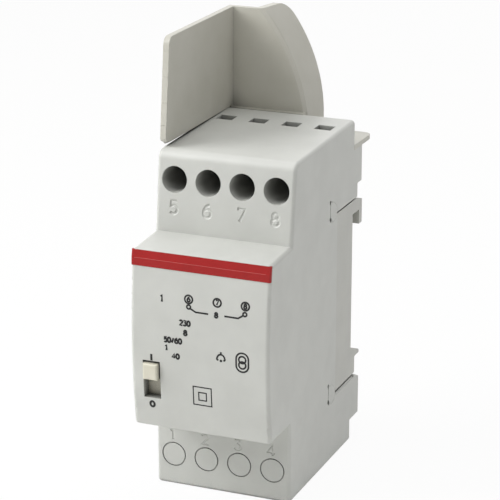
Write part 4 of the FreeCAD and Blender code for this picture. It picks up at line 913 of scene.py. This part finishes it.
# White studio paper: even and matt, white wherever it is seen, and a touch darker where the object
# shades it. Most of the white that is seen is its own glow, which puts no light on the object
floor_material = bpy.data.materials.new("white_paper")
floor_material.use_nodes = True
tree = floor_material.node_tree
tree.nodes.clear()
share = add(tree, "ShaderNodeMath", {"operation": "MULTIPLY"}, {
    0: seen_directly(tree).outputs["Value"], 1: PAPER_GLOW})
paper = add(tree, "ShaderNodeBsdfDiffuse", {}, {"Color": linear("F4F4F2")})
glow = add(tree, "ShaderNodeEmission", {}, {"Color": (1, 1, 1, 1), "Strength": 1.0})
both = add(tree, "ShaderNodeMixShader", {}, {
    0: share.outputs["Value"], 1: paper.outputs["BSDF"], 2: glow.outputs["Emission"]})
add(tree, "ShaderNodeOutputMaterial", {}, {"Surface": both.outputs["Shader"]})
floor_mesh.materials.append(floor_material)

# Plain white room: white wherever it is seen, and a low even light on the object
world = bpy.data.worlds.new("studio")
bpy.context.scene.world = world
world.use_nodes = True
tree = world.node_tree
tree.nodes.clear()
level = add(tree, "ShaderNodeMapRange", {}, {
    "Value": seen_directly(tree).outputs["Value"], "To Min": ROOM_LEVEL, "To Max": 1.0})
sky = add(tree, "ShaderNodeBackground", {}, {"Color": (1, 1, 1, 1), "Strength": level.outputs["Result"]})
add(tree, "ShaderNodeOutputWorld", {}, {"Surface": sky.outputs["Background"]})

# Place that the lamps look at
MIDDLE = Vector((0.0, -0.02, 0.01))


def softbox(name, azimuth, elevation, distance, size, power):
    """Square area lamp that looks at the object's middle: degrees, metres and watts."""
    a, e = math.radians(azimuth), math.radians(elevation)
    back = Vector((math.sin(a) * math.cos(e), -math.cos(a) * math.cos(e), math.sin(e)))
    lamp = bpy.data.lights.new(name, "AREA")
    lamp.size = size
    lamp.energy = power
    holder = bpy.data.objects.new(name, lamp)
    holder.location = MIDDLE + back * distance
    holder.rotation_euler = back.to_track_quat("Z", "Y").to_euler()
    bpy.context.scene.collection.objects.link(holder)


softbox("key", azimuth=-60, elevation=35, distance=0.6, size=0.35, power=3.0)
softbox("upper_front", azimuth=-10, elevation=60, distance=0.6, size=0.4, power=0.75)
softbox("top", azimuth=170, elevation=72, distance=0.9, size=0.6, power=2.55)
softbox("side", azimuth=84, elevation=9, distance=0.9, size=0.8, power=1.3)
softbox("back_fill", azimuth=180, elevation=12, distance=0.9, size=0.7, power=1.0)

# Camera: the view's right and up directions, where it stands, and its lens in millimetres
RIGHT = Vector((0.92405, 0.38227, 0.0)).normalized()
UP = Vector((-0.12003, 0.29014, 0.94943)).normalized()
CAMERA_PLACE = Vector((0.1923, -0.4906, 0.1814))
FOCAL_LENGTH = 153.13
SENSOR_WIDTH = 36.0
lens = bpy.data.cameras.new("camera")
lens.sensor_width = SENSOR_WIDTH
lens.lens = FOCAL_LENGTH
lens.clip_start = 0.01
lens.clip_end = 20.0
camera = bpy.data.objects.new("camera", lens)
backward = RIGHT.cross(UP)
turn = Matrix((RIGHT, UP, backward)).transposed().to_4x4()
camera.matrix_world = Matrix.Translation(CAMERA_PLACE) @ turn
bpy.context.scene.collection.objects.link(camera)
bpy.context.scene.camera = camera

bpy.context.scene.view_settings.view_transform = "Standard"
